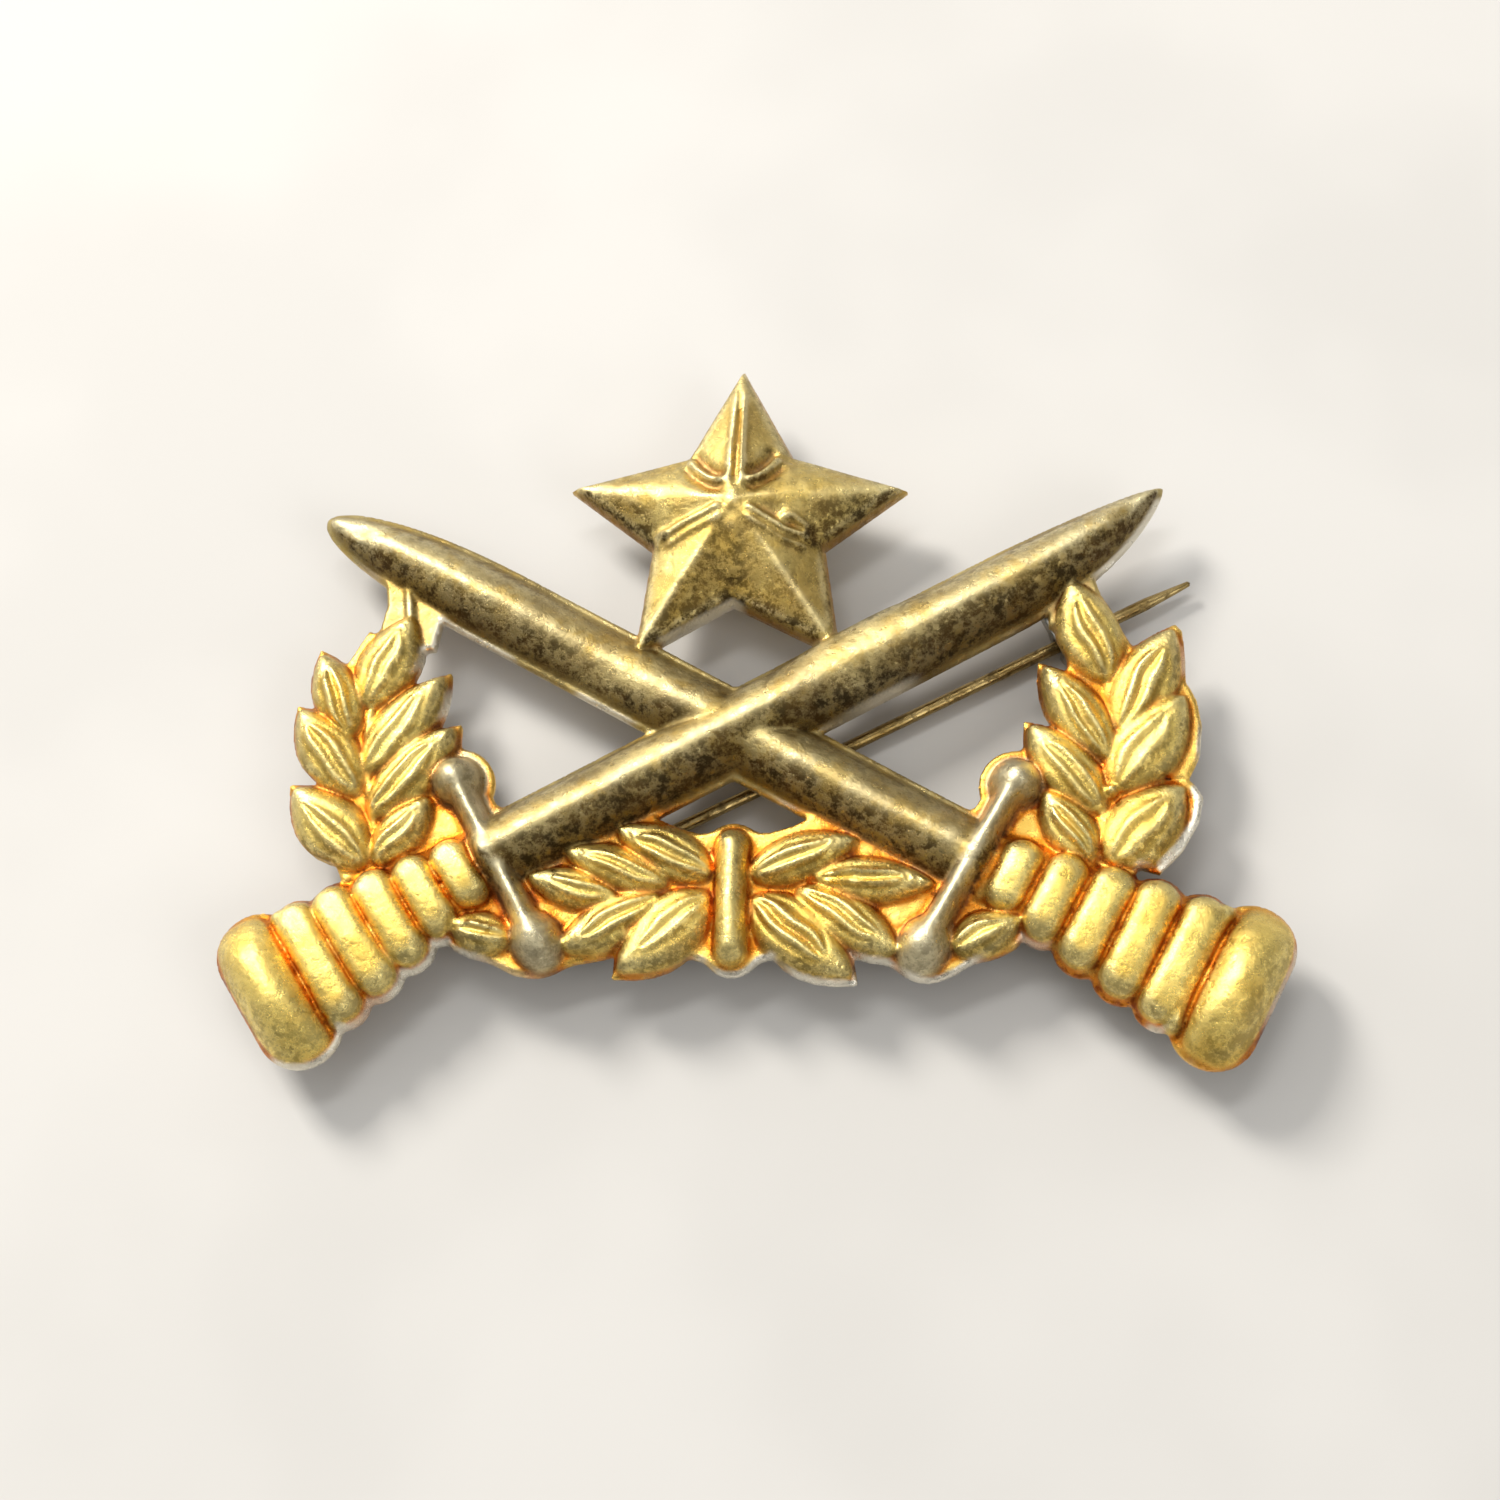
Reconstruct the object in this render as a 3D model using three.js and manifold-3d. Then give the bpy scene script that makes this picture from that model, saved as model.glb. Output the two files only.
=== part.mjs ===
// Cap badge: a one-piece struck, hollow-backed face (star, crossed swords, laurel wreath and garland)
// with a hinged pin and a roll-over catch soldered behind it.
// Millimetres. The face looks along +Z and the star points along +Y. The badge lies on its pin fitting.
import * as THREE from "three";
import { mergeVertices } from "three/addons/utils/BufferGeometryUtils.js";
import Module from "manifold-3d";

const wasm = await Module();
wasm.setup();

// ---- Driving dimensions -------------------------------------------------------------------------
// Heights are above the back plane of the struck face, z = 0. Angles are in degrees from +X.

const RIM = 0.6; // thickness of the plain rim around every raised form
const WALL = 0.6; // struck sheet left between a raised form and the hollow behind it
const ROOTED = 0.6; // how far a blade reaches back under its guard; a grip reaches half as far

const STAR = { x: -0.2, y: 12.3, apex: 3.9, shoulder: 1.1, tipMargin: 0.8, notchMargin: 0.5 };
// Tips and notches of the star in turn, clockwise from its top.
const STAR_CORNERS = [
  [0.1, 22.6],
  [3.4, 16.3],
  [10.65, 13.9],
  [5.45, 10.0],
  [6.45, 2.75],
  [-0.3, 6.3],
  [-6.45, 2.75],
  [-5.5, 10.1],
  [-10.85, 14.35],
  [-3.35, 16.35],
];

const BLADE = { halfWidth: 2.3, nose: 13, rim: 0.3 };
// A guard's arms are thinnest at neck and end in a ball each; low, top and at are heights.
const GUARD = { armUp: 5.3, armDown: 5.8, neck: 0.74, end: 1.05, low: 0.5, top: 2.95, rimHalf: 1.5 };
const GUARD_BALLS = { up: 1.5, down: 1.75, at: 1.3 };
const POMMEL = { halfLength: 4.8, radius: 2.25, low: 0.4, top: 3.4, rim: 0.4 };
// Distance from the guard, half length across the grip and radius of each grip rib.
const GRIP_RIBS = [
  [2.55, 2.4, 1.3],
  [5.15, 2.85, 1.35],
  [7.8, 3.35, 1.42],
  [10.45, 3.8, 1.45],
  [13.1, 4.15, 1.4],
];
const CORE = { narrow: 1.9, wide: 3.6, low: 0.3, high: 2.1 }; // the grip between its ribs
const RIB = { low: 0.5, top: 2.6, rimEnd: 0.3, rimSide: 0.4 };
const POMMEL_AT = 16.2;

// The front sword lies over the back one. grip stretches the distances of GRIP_RIBS and POMMEL_AT.
const SWORDS = [
  { guard: [14.5, -10.3], blade: 150.6, handle: -27.5, length: 46.8, base: 0.35, top: 2.7, grip: 1.04 },
  { guard: [-14.6, -9.9], blade: 28.3, handle: -147.0, length: 47.2, base: 0.7, top: 3.2, grip: 0.94 },
];

// The leaf's outline bows out by rimShare of its width and rim more; its body stands inside that.
const LEAF = { top: 1.9, base: 0.35, rimShare: 0.41, rim: 0.3, tipRim: 0.6 };
// Each leaf: root x, root y, tip x, tip y, width.
const RIGHT_WREATH = [
  [22.9, 0.7, 20.5, 7.5, 4.0],
  [23.3, -2.6, 26.8, 4.1, 4.0],
  [22.8, -6.2, 27.3, -0.2, 4.4],
  [22.3, -10.7, 27.1, -6.0, 4.6],
  [22.9, -4.2, 18.9, 1.8, 3.4],
  [22.2, -7.5, 18.0, -2.0, 3.7],
  [21.6, -10.6, 18.7, -6.2, 3.2],
];
const LEFT_WREATH = [
  [-23.3, -0.3, -20.5, 5.6, 3.9],
  [-23.9, -2.3, -26.2, 3.2, 3.2],
  [-23.3, -6.0, -27.3, -0.5, 3.9],
  [-22.4, -10.6, -27.3, -5.6, 4.2],
  [-23.0, -4.6, -18.3, 1.6, 3.7],
  [-22.4, -7.5, -17.5, -1.8, 3.7],
  [-22.0, -10.5, -18.7, -6.3, 3.1],
];
const GARLAND = [
  [0.9, -11.3, 7.5, -9.1, 3.2],
  [4.8, -11.4, 12.1, -11.9, 3.0],
  [3.9, -12.1, 10.1, -16.2, 3.4],
  [1.1, -12.7, 7.1, -17.5, 4.3],
  [12.8, -15.8, 17.4, -14.0, 2.9],
  [-1.1, -11.3, -7.1, -8.3, 3.3],
  [-3.8, -11.9, -10.3, -9.7, 3.0],
  [-6.7, -12.8, -12.5, -11.3, 2.7],
  [-4.1, -12.6, -10.5, -15.9, 3.3],
  [-1.3, -12.4, -6.7, -17.1, 4.3],
  [-13.2, -15.4, -17.2, -14.2, 2.8],
];
const TIE = { top: -8.4, bottom: -16.9, radius: 1.15, low: 0.3, height: 2.5, rimEnd: 0.5, rimSide: 0.6 };

// Centre line of a wreath branch behind its leaves (mirrored for the left one) and the web's half widths.
const STEM = [
  [21.4, -11.0, 2.6],
  [22.5, -6.5, 3.2],
  [23.0, -2.5, 3.0],
  [22.7, 1.2, 2.5],
  [21.9, 4.5, 1.5],
];
// Sheet behind the garland, one corner per bend, right half; the left half mirrors it.
const GARLAND_WEB = [
  [0, -8.6],
  [2.2, -8.55],
  [3.6, -8.15],
  [5.5, -7.2],
  [9.0, -8.4],
  [14.5, -11.6],
  [18.6, -12.4],
  [17.0, -15.6],
  [13.2, -17.1],
  [9.6, -16.6],
  [5.0, -15.6],
  [0, -16.9],
];
// Tabs that join the topmost leaf of each branch to the blade above it.
const RIGHT_TAB = [
  [19.3, 4.6],
  [23.3, 3.9],
  [22.0, 8.3],
  [21.6, 9.6],
  [19.2, 8.6],
];
const LEFT_TAB = [
  [-19.1, 3.6],
  [-23.0, 3.4],
  [-22.3, 6.6],
  [-22.6, 9.2],
  [-18.3, 7.4],
];
// Sheet between the upper ball of a guard, its grip and the wreath; the left one mirrors it.
const RIGHT_SHOULDER = [
  [15.6, -9.0],
  [17.2, -5.4],
  [20.0, -4.8],
  [21.5, -11.0],
  [17.5, -12.5],
];
// Plain rim outside the right branch: along its middle leaves, and beside its lowest leaf.
const RIGHT_FLANGE = [
  [24.5, 3.0],
  [26.9, 4.5],
  [27.4, 4.2],
  [27.5, 0.9],
  [28.1, -0.3],
  [28.35, -2.0],
  [28.15, -3.9],
  [27.4, -5.4],
  [24.5, -5.0],
];
const LOWER_FLANGE = [
  [25.0, -5.6],
  [27.2, -5.5],
  [27.8, -5.7],
  [28.25, -6.5],
  [27.95, -8.0],
  [26.9, -9.8],
  [25.5, -11.2],
  [23.5, -10.6],
];

// The pin runs behind the face from its hinge to past the wreath. z is the depth of its centre line.
const PIN = { hinge: [-9.5, -10.3], angle: 26.4, z: -2.2, length: 42.2, radius: 0.4, point: 3.2 };
const SOLDER_GAP = 0.01;
const PLATE = { thickness: 0.5, corner: 0.5 };
const HINGE_PLATE = { length: 5.2, width: 4.0 };
const CATCH_PLATE = { length: 2.8, width: 3.4 };
const FILLET = { reach: 0.5, thickness: 0.34 };
const EAR = { inner: 0.56, thickness: 0.45, radius: 1.15, web: 0.4, length: 3.0 };
const RIVET = { radius: 0.44, hole: 0.49, head: 0.85, headThickness: 0.35, gap: 0.02 };
const EYE = { radius: 0.95, hole: 0.52, width: 1.0 };
const CATCH_AT = 34.4; // from the hinge axis along the pin
const BARREL = { outer: 1.35, inner: 0.98, slot: 0.55, length: 2.0 };
const SLEEVE = { outer: 0.91, inner: 0.53, slot: 0.46, flange: 1.3, flangeLength: 0.3, endGap: 0.05 };
const THUMB_TAB = { reach: 3.1, width: 0.9, thickness: 0.55 };

// ---- Solids -------------------------------------------------------------------------------------

/** A closed three.js geometry as a manifold solid. */
function solid(geometry) {
  const bare = new THREE.BufferGeometry();
  const loose = geometry.index ? geometry.toNonIndexed() : geometry;
  bare.setAttribute("position", loose.getAttribute("position"));
  const merged = mergeVertices(bare, 1e-4);
  const corners = merged.index.array;
  const triangles = [];
  for (let i = 0; i < corners.length; i += 3) {
    const [a, b, c] = corners.slice(i, i + 3);
    if (a !== b && b !== c && c !== a) triangles.push(a, b, c);
  }
  const mesh = new wasm.Mesh({
    numProp: 3,
    vertProperties: merged.attributes.position.array,
    triVerts: new Uint32Array(triangles),
  });
  return new wasm.Manifold(mesh);
}

const join = (solids) => solids.reduce((all, one) => all.add(one));

const radians = THREE.MathUtils.degToRad;

/** Unit vector in the plane of the face at an angle in degrees from +X. */
const heading = (angle) => new THREE.Vector2(Math.cos(radians(angle)), Math.sin(radians(angle)));

/** The point at a distance along an angle from a start, in the plane of the face. */
const along = (start, angle, distance) =>
  new THREE.Vector2(...start).addScaledVector(heading(angle), distance);

/** A plate with the shape's outline, from z = low to z = high. */
function plate(shape, low, high, curveSegments = 6) {
  const geometry = new THREE.ExtrudeGeometry(shape, {
    depth: high - low,
    bevelEnabled: false,
    curveSegments,
  });
  return solid(geometry.translate(0, 0, low));
}

/** A round-bodied ridge that lies along a line: radius(t) gives its half width from t = 0 to t = 1. */
function ridge({ start, angle, length, radius, low, high, widest, steps = 8, sides = 12 }) {
  const profile = [new THREE.Vector2(0, 0)];
  for (let i = 0; i <= steps; i++) {
    const r = radius(i / steps);
    if (r > 1e-3) profile.push(new THREE.Vector2(r, (length * i) / steps));
  }
  profile.push(new THREE.Vector2(0, length));
  const geometry = new THREE.LatheGeometry(profile, sides)
    .scale(1, 1, (high - low) / widest)
    .rotateZ(radians(angle - 90))
    .translate(start.x, start.y, low);
  return solid(geometry);
}

/** A pill that lies across a line: half its length to each side of the centre. */
function pill(centre, angle, halfLength, radius, low, high) {
  const straight = 2 * (halfLength - radius);
  const geometry = new THREE.CapsuleGeometry(radius, straight, 2, 8)
    .scale(1, 1, (high - low) / radius)
    .rotateZ(radians(angle - 90))
    .translate(centre.x, centre.y, low);
  return solid(geometry);
}

/** The outline of a pill, for the rim around it. */
function pillShape(centre, angle, halfLength, radius) {
  const reach = halfLength - radius;
  const from = along(centre.toArray(), angle, -reach);
  const to = along(centre.toArray(), angle, reach);
  const turn = radians(angle);
  const quarter = Math.PI / 2;
  const shape = new THREE.Shape();
  shape.absarc(to.x, to.y, radius, turn - quarter, turn + quarter);
  shape.absarc(from.x, from.y, radius, turn + quarter, turn + 3 * quarter);
  return shape;
}

const polygon = (points) => new THREE.Shape(points.map(([x, y]) => new THREE.Vector2(x, y)));

/** A band along a smooth line of [x, y, half width] stations. */
function band(stations) {
  const line = new THREE.SplineCurve(stations.map(([x, y]) => new THREE.Vector2(x, y)));
  const width = new THREE.SplineCurve(stations.map(([, , w], i) => new THREE.Vector2(i, w)));
  const left = [];
  const right = [];
  const steps = 2 * (stations.length - 1);
  for (let i = 0; i <= steps; i++) {
    const point = line.getPoint(i / steps);
    const side = line.getTangent(i / steps).rotateAround(new THREE.Vector2(), Math.PI / 2);
    const half = width.getPoint(i / steps).y;
    left.push(point.clone().addScaledVector(side, half));
    right.unshift(point.clone().addScaledVector(side, -half));
  }
  return new THREE.Shape([...right, ...left].reverse());
}

const mirrored = (points) => points.map(([x, y, ...rest]) => [-x, y, ...rest]);

// ---- Raised forms of the face: each gives its rim, its body and the hollow behind it ------------------

/** The star's corners drawn in towards its apex. */
function starCorners(tipMargin, notchMargin) {
  const apex = new THREE.Vector2(STAR.x, STAR.y);
  return STAR_CORNERS.map(([x, y], i) => {
    const corner = new THREE.Vector2(x, y);
    const inward = apex.clone().sub(corner).normalize();
    return corner.addScaledVector(inward, i % 2 ? notchMargin : tipMargin).toArray();
  });
}

/** A ten-sided cone whose base ring is drawn out to the star's corners. */
function starPyramid(corners, low, apex) {
  const height = apex - low;
  const geometry = new THREE.ConeGeometry(1, height, 10, 1);
  geometry.rotateX(Math.PI / 2).translate(0, 0, low + height / 2);
  const place = geometry.getAttribute("position");
  for (let i = 0; i < place.count; i++) {
    const x = place.getX(i);
    const y = place.getY(i);
    if (Math.hypot(x, y) < 0.5) {
      place.setXY(i, STAR.x, STAR.y);
      continue;
    }
    const bearing = THREE.MathUtils.radToDeg(Math.atan2(x, y));
    const corner = (Math.round(bearing / 36) + 10) % 10;
    place.setXY(i, ...corners[corner]);
  }
  return solid(geometry);
}

function star() {
  const { shoulder, tipMargin, notchMargin, apex } = STAR;
  const body = starCorners(tipMargin, notchMargin);
  const room = starCorners(tipMargin + 2.2 * WALL, notchMargin + 1.2 * WALL);
  return {
    outer: [
      plate(polygon(STAR_CORNERS), 0, RIM),
      plate(polygon(body), 0, shoulder),
      starPyramid(body, shoulder, apex),
    ],
    hollow: [starPyramid(room, -0.01, apex - 1.4 * WALL)],
  };
}

/** Half width of a blade at t from the guard (0) to its point (1): parallel, then an elliptical nose. */
function bladeWidth(length, halfWidth) {
  return (t) => {
    const fromPoint = Math.min((1 - t) * length, BLADE.nose) / BLADE.nose;
    return halfWidth * Math.sqrt(1 - (1 - fromPoint) ** 2);
  };
}

function blade({ guard, blade: angle, length, base, top }) {
  const start = along(guard, angle, -ROOTED);
  const form = { start, angle, length: length + ROOTED, steps: 14, sides: 12 };
  const rimHalf = BLADE.halfWidth + BLADE.rim;
  const rimLength = length + BLADE.rim;
  const width = bladeWidth(rimLength, rimHalf);
  const edges = [1, -1].map((side) => {
    const points = [];
    for (let i = 0; i <= 14; i++) {
      const point = along(guard, angle, (rimLength * i) / 14);
      points.push(point.addScaledVector(heading(angle + 90 * side), width(i / 14)));
    }
    return points;
  });
  const outline = new THREE.Shape([...edges[1], ...edges[0].reverse().slice(1)]);
  const inner = BLADE.halfWidth - WALL;
  return {
    outer: [
      plate(outline, 0, RIM),
      ridge({
        ...form,
        radius: bladeWidth(length + ROOTED, BLADE.halfWidth),
        widest: BLADE.halfWidth,
        low: base,
        high: top,
      }),
    ],
    hollow: [
      ridge({
        ...form,
        length: length - 2.5 * WALL,
        radius: bladeWidth(length - 2.5 * WALL, inner),
        widest: inner,
        low: 0,
        high: top - WALL,
      }),
    ],
  };
}

function guard({ guard: centre, blade: angle, handle }) {
  const up = handle > -90 ? angle - 90 : angle + 90;
  const ends = [
    { angle: up, reach: GUARD.armUp, ball: GUARD_BALLS.up },
    { angle: up + 180, reach: GUARD.armDown, ball: GUARD_BALLS.down },
  ];
  const outer = [];
  for (const end of ends) {
    const at = along(centre, end.angle, end.reach);
    const half = along(centre, end.angle, end.reach / 2);
    const armRim = pillShape(half, end.angle, end.reach / 2 + GUARD.rimHalf, GUARD.rimHalf);
    const ballRim = new THREE.Shape().absarc(at.x, at.y, end.ball + RIM, 0, 2 * Math.PI);
    const ball = new THREE.SphereGeometry(end.ball, 10, 6);
    const arm = ridge({
      start: new THREE.Vector2(...centre),
      angle: end.angle,
      length: end.reach,
      radius: (t) => GUARD.end + (GUARD.neck - GUARD.end) * Math.sin(Math.PI * t),
      widest: GUARD.end,
      low: GUARD.low,
      high: GUARD.top,
    });
    outer.push(arm, plate(armRim, 0, RIM), plate(ballRim, 0, RIM, 8));
    outer.push(solid(ball.translate(at.x, at.y, GUARD_BALLS.at)));
  }
  return { outer, hollow: [] };
}

function handle({ guard: centre, handle: angle, grip }) {
  const across = angle + 90;
  const outer = [];
  for (const [distance, halfLength, radius] of GRIP_RIBS) {
    const at = along(centre, angle, distance * grip);
    const rim = pillShape(at, across, halfLength + RIB.rimEnd, radius + RIB.rimSide);
    outer.push(pill(at, across, halfLength, radius, RIB.low, RIB.top), plate(rim, 0, RIM));
  }
  const pommelAt = along(centre, angle, POMMEL_AT * grip);
  const { halfLength, radius, top } = POMMEL;
  const rim = pillShape(pommelAt, across, halfLength + POMMEL.rim, radius + POMMEL.rim);
  outer.push(pill(pommelAt, across, halfLength, radius, POMMEL.low, top), plate(rim, 0, RIM));
  const start = along(centre, angle, -0.5 * ROOTED);
  const length = POMMEL_AT * grip;
  const { narrow, wide, low, high } = CORE;
  const core = { start, angle, length, steps: 3, sides: 10 };
  const body = { ...core, radius: (t) => narrow + (wide - narrow) * t, widest: wide, low, high };
  const taper = (t) => narrow - WALL + (wide - narrow - WALL) * t;
  outer.push(ridge(body));
  const hollow = [
    ridge({ ...core, radius: taper, widest: wide - 2 * WALL, low: 0, high: high - WALL }),
    pill(pommelAt, across, halfLength - WALL, radius - WALL, 0, top - WALL),
  ];
  return { outer, hollow };
}

/** A pointed leaf: a rim plate in its outline and a rounded body that tapers to both ends. */
function leaf([rootX, rootY, tipX, tipY, width]) {
  const root = new THREE.Vector2(rootX, rootY);
  const tip = new THREE.Vector2(tipX, tipY);
  const length = root.distanceTo(tip);
  const angle = THREE.MathUtils.radToDeg(tip.clone().sub(root).angle());
  const rimTip = along(tip.toArray(), angle, LEAF.tipRim);
  const bulge = LEAF.rimShare * width + LEAF.rim;
  const shape = new THREE.Shape().moveTo(root.x, root.y);
  for (const [side, end] of [[-1, rimTip], [1, root]]) {
    const control = along(root.toArray(), angle, length * 0.55);
    control.addScaledVector(heading(angle + 90 * side), 2 * bulge);
    shape.quadraticCurveTo(control.x, control.y, end.x, end.y);
  }
  return {
    outer: [
      plate(shape, 0, RIM, 4),
      ridge({
        start: root,
        angle,
        length,
        radius: (t) => (width / 2) * Math.sin(Math.PI * Math.min(t, 1) ** 0.8) ** 0.7,
        widest: width / 2,
        low: LEAF.base,
        high: LEAF.top,
        steps: 5,
        sides: 6,
      }),
    ],
    hollow: [],
  };
}

/** The sheet between the raised forms. */
function webs() {
  const web = [
    band(STEM),
    band(mirrored(STEM)),
    polygon([...GARLAND_WEB, ...mirrored(GARLAND_WEB.slice(1, -1)).reverse()]),
    polygon(RIGHT_TAB),
    polygon(LEFT_TAB),
    polygon(RIGHT_SHOULDER),
    polygon(mirrored(RIGHT_SHOULDER)),
  ];
  const flanges = [polygon(RIGHT_FLANGE), polygon(LOWER_FLANGE)];
  const middle = new THREE.Vector2(0, (TIE.top + TIE.bottom) / 2);
  const halfLength = (TIE.top - TIE.bottom) / 2;
  const tieRim = pillShape(middle, 90, halfLength + TIE.rimEnd, TIE.radius + TIE.rimSide);
  return {
    outer: [
      ...web.map((shape) => plate(shape, 0, RIM + 0.2)),
      ...flanges.map((shape) => plate(shape, 0, RIM)),
      pill(middle, 90, halfLength, TIE.radius, TIE.low, TIE.height),
      plate(tieRim, 0, RIM),
    ],
    hollow: [],
  };
}

function struckFace() {
  const leaves = [...RIGHT_WREATH, ...LEFT_WREATH, ...GARLAND].map(leaf);
  const forms = [star(), webs(), ...leaves];
  for (const sword of SWORDS) forms.push(blade(sword), guard(sword), handle(sword));
  const outer = join(forms.flatMap((form) => form.outer));
  const hollow = join(forms.flatMap((form) => form.hollow));
  const below = solid(new THREE.BoxGeometry(100, 100, 10).translate(0, 0, -5));
  return outer.subtract(hollow).subtract(below);
}

// ---- Pin fitting, along its own +X from the hinge axis to the point of the pin ------------------------

/** A rectangular pad with rounded corners, centred on x, just behind the face. */
function padShape(x, length, width, corner) {
  const shape = new THREE.Shape();
  const ends = [
    [x + length / 2 - corner, width / 2 - corner, 0],
    [x - length / 2 + corner, width / 2 - corner, 1],
    [x - length / 2 + corner, -width / 2 + corner, 2],
    [x + length / 2 - corner, -width / 2 + corner, 3],
  ];
  for (const [cx, cy, quarter] of ends) {
    const from = (quarter * Math.PI) / 2;
    shape.absarc(cx, cy, corner, from, from + Math.PI / 2);
  }
  return shape;
}

const pad = (x, { length, width }) =>
  plate(padShape(x, length, width, PLATE.corner), -SOLDER_GAP - PLATE.thickness, -SOLDER_GAP, 3);

/** The run-out of solder around a pad. */
function fillet(x, { length, width }) {
  const { reach, thickness } = FILLET;
  const outer = padShape(x, length + 2 * reach, width + 2 * reach, PLATE.corner + reach);
  const slab = plate(outer, -SOLDER_GAP - thickness, -SOLDER_GAP, 3);
  const room = padShape(x, length + 2 * SOLDER_GAP, width + 2 * SOLDER_GAP, PLATE.corner);
  return slab.subtract(plate(room, -1, 1, 3));
}

/** A plate standing in the XZ plane, from y = low to y = high. The shape's y is the part's z. */
function standing(shape, low, high) {
  const geometry = new THREE.ExtrudeGeometry(shape, {
    depth: high - low,
    bevelEnabled: false,
    curveSegments: 8,
  });
  return solid(geometry.rotateX(Math.PI / 2).translate(0, high, 0));
}

/** A round hole or disc at the pin's centre line, seen along Y. */
function disc(radius, low, high) {
  const geometry = new THREE.CylinderGeometry(radius, radius, high - low, 24);
  return solid(geometry.translate(0, (high + low) / 2, PIN.z));
}

const bracketTop = -SOLDER_GAP - PLATE.thickness - SOLDER_GAP;

function hingeBracket() {
  const half = EAR.length / 2;
  const outerFace = EAR.inner + EAR.thickness;
  const ear = new THREE.Shape();
  ear.moveTo(-half, bracketTop);
  ear.lineTo(-EAR.radius, PIN.z);
  ear.absarc(0, PIN.z, EAR.radius, Math.PI, 2 * Math.PI);
  ear.lineTo(half, bracketTop);
  const web = new THREE.BoxGeometry(EAR.length, 2 * outerFace, EAR.web);
  const parts = [
    solid(web.translate(0, 0, bracketTop - EAR.web / 2)),
    standing(ear, EAR.inner, outerFace),
    standing(ear, -outerFace, -EAR.inner),
  ];
  return join(parts).subtract(disc(RIVET.hole, -2, 2));
}

function hingeRivet() {
  const seat = EAR.inner + EAR.thickness + RIVET.gap;
  const end = seat + RIVET.headThickness;
  const half = [
    [RIVET.radius, seat],
    [RIVET.head, seat],
    [0.8 * RIVET.head, end - 0.12],
    [0.4 * RIVET.head, end],
  ];
  const upper = half.map(([r, y]) => new THREE.Vector2(r, y));
  const lower = half.map(([r, y]) => new THREE.Vector2(r, -y)).reverse();
  const profile = [new THREE.Vector2(0, -end), ...lower, ...upper, new THREE.Vector2(0, end)];
  return solid(new THREE.LatheGeometry(profile, 20).translate(0, 0, PIN.z));
}

function pinWire() {
  const root = EYE.radius - 0.25;
  const stations = [
    [0, root],
    [PIN.radius, root],
    [PIN.radius, PIN.length - PIN.point],
    [0.75 * PIN.radius, PIN.length - 0.45 * PIN.point],
    [0.45 * PIN.radius, PIN.length - 0.15],
    [0, PIN.length],
  ];
  const profile = stations.map(([r, x]) => new THREE.Vector2(r, x));
  const wire = new THREE.LatheGeometry(profile, 12).rotateZ(-Math.PI / 2).translate(0, 0, PIN.z);
  const eye = disc(EYE.radius, -EYE.width / 2, EYE.width / 2);
  return eye.add(solid(wire)).subtract(disc(EYE.hole, -2, 2));
}

/** A tube along X around the pin's centre line. */
function tube(outer, inner, from, to) {
  const profile = [
    [inner, from],
    [outer, from],
    [outer, to],
    [inner, to],
    [inner, from],
  ].map(([r, x]) => new THREE.Vector2(r, x));
  return solid(new THREE.LatheGeometry(profile, 24).rotateZ(-Math.PI / 2).translate(0, 0, PIN.z));
}

/** A slot open to -Z from the pin's centre line, centred on CATCH_AT. */
function slot(halfWidth) {
  const geometry = new THREE.BoxGeometry(10, 2 * halfWidth, 4);
  return solid(geometry.translate(CATCH_AT, 0, PIN.z - 2));
}

function catchBarrel() {
  const half = BARREL.length / 2;
  const footTop = bracketTop;
  const footBottom = PIN.z + BARREL.inner + 0.1;
  const foot = new THREE.BoxGeometry(BARREL.length, 1.6, footTop - footBottom);
  return tube(BARREL.outer, BARREL.inner, CATCH_AT - half, CATCH_AT + half)
    .add(solid(foot.translate(CATCH_AT, 0, (footTop + footBottom) / 2)))
    .subtract(slot(BARREL.slot));
}

function catchSleeve() {
  const seat = BARREL.length / 2 + SLEEVE.endGap;
  const { outer, inner, flange, flangeLength } = SLEEVE;
  const tabEnd = CATCH_AT - seat - THUMB_TAB.thickness;
  const tab = new THREE.BoxGeometry(THUMB_TAB.thickness, THUMB_TAB.reach - outer + 0.1, THUMB_TAB.width);
  tab.translate(tabEnd + THUMB_TAB.thickness / 2, (THUMB_TAB.reach + outer - 0.1) / 2, PIN.z);
  return tube(outer, inner, tabEnd, CATCH_AT + seat + flangeLength)
    .add(tube(flange, inner, tabEnd, CATCH_AT - seat))
    .add(tube(flange, inner, CATCH_AT + seat, CATCH_AT + seat + flangeLength))
    .add(solid(tab))
    .subtract(slot(SLEEVE.slot));
}

// ---- Assembly -----------------------------------------------------------------------------------

function node(name, made, color, roughness, metalness = 1) {
  const { numProp, numVert, vertProperties, triVerts } = made.getMesh();
  const place = new Float32Array(3 * numVert);
  for (let i = 0; i < numVert; i++) {
    place.set(vertProperties.subarray(i * numProp, i * numProp + 3), 3 * i);
  }
  const geometry = new THREE.BufferGeometry();
  geometry.setAttribute("position", new THREE.BufferAttribute(place, 3));
  geometry.setIndex(new THREE.BufferAttribute(triVerts, 1));
  geometry.computeVertexNormals();
  const material = new THREE.MeshStandardMaterial({ color, roughness, metalness });
  const mesh = new THREE.Mesh(geometry, material);
  mesh.name = name;
  return mesh;
}

const GILT = 0xc9a24a;
const BRASS = 0xa98c52;
const NICKEL = 0xb3aa92;
const SOLDER = 0x8f8f8a;

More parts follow.
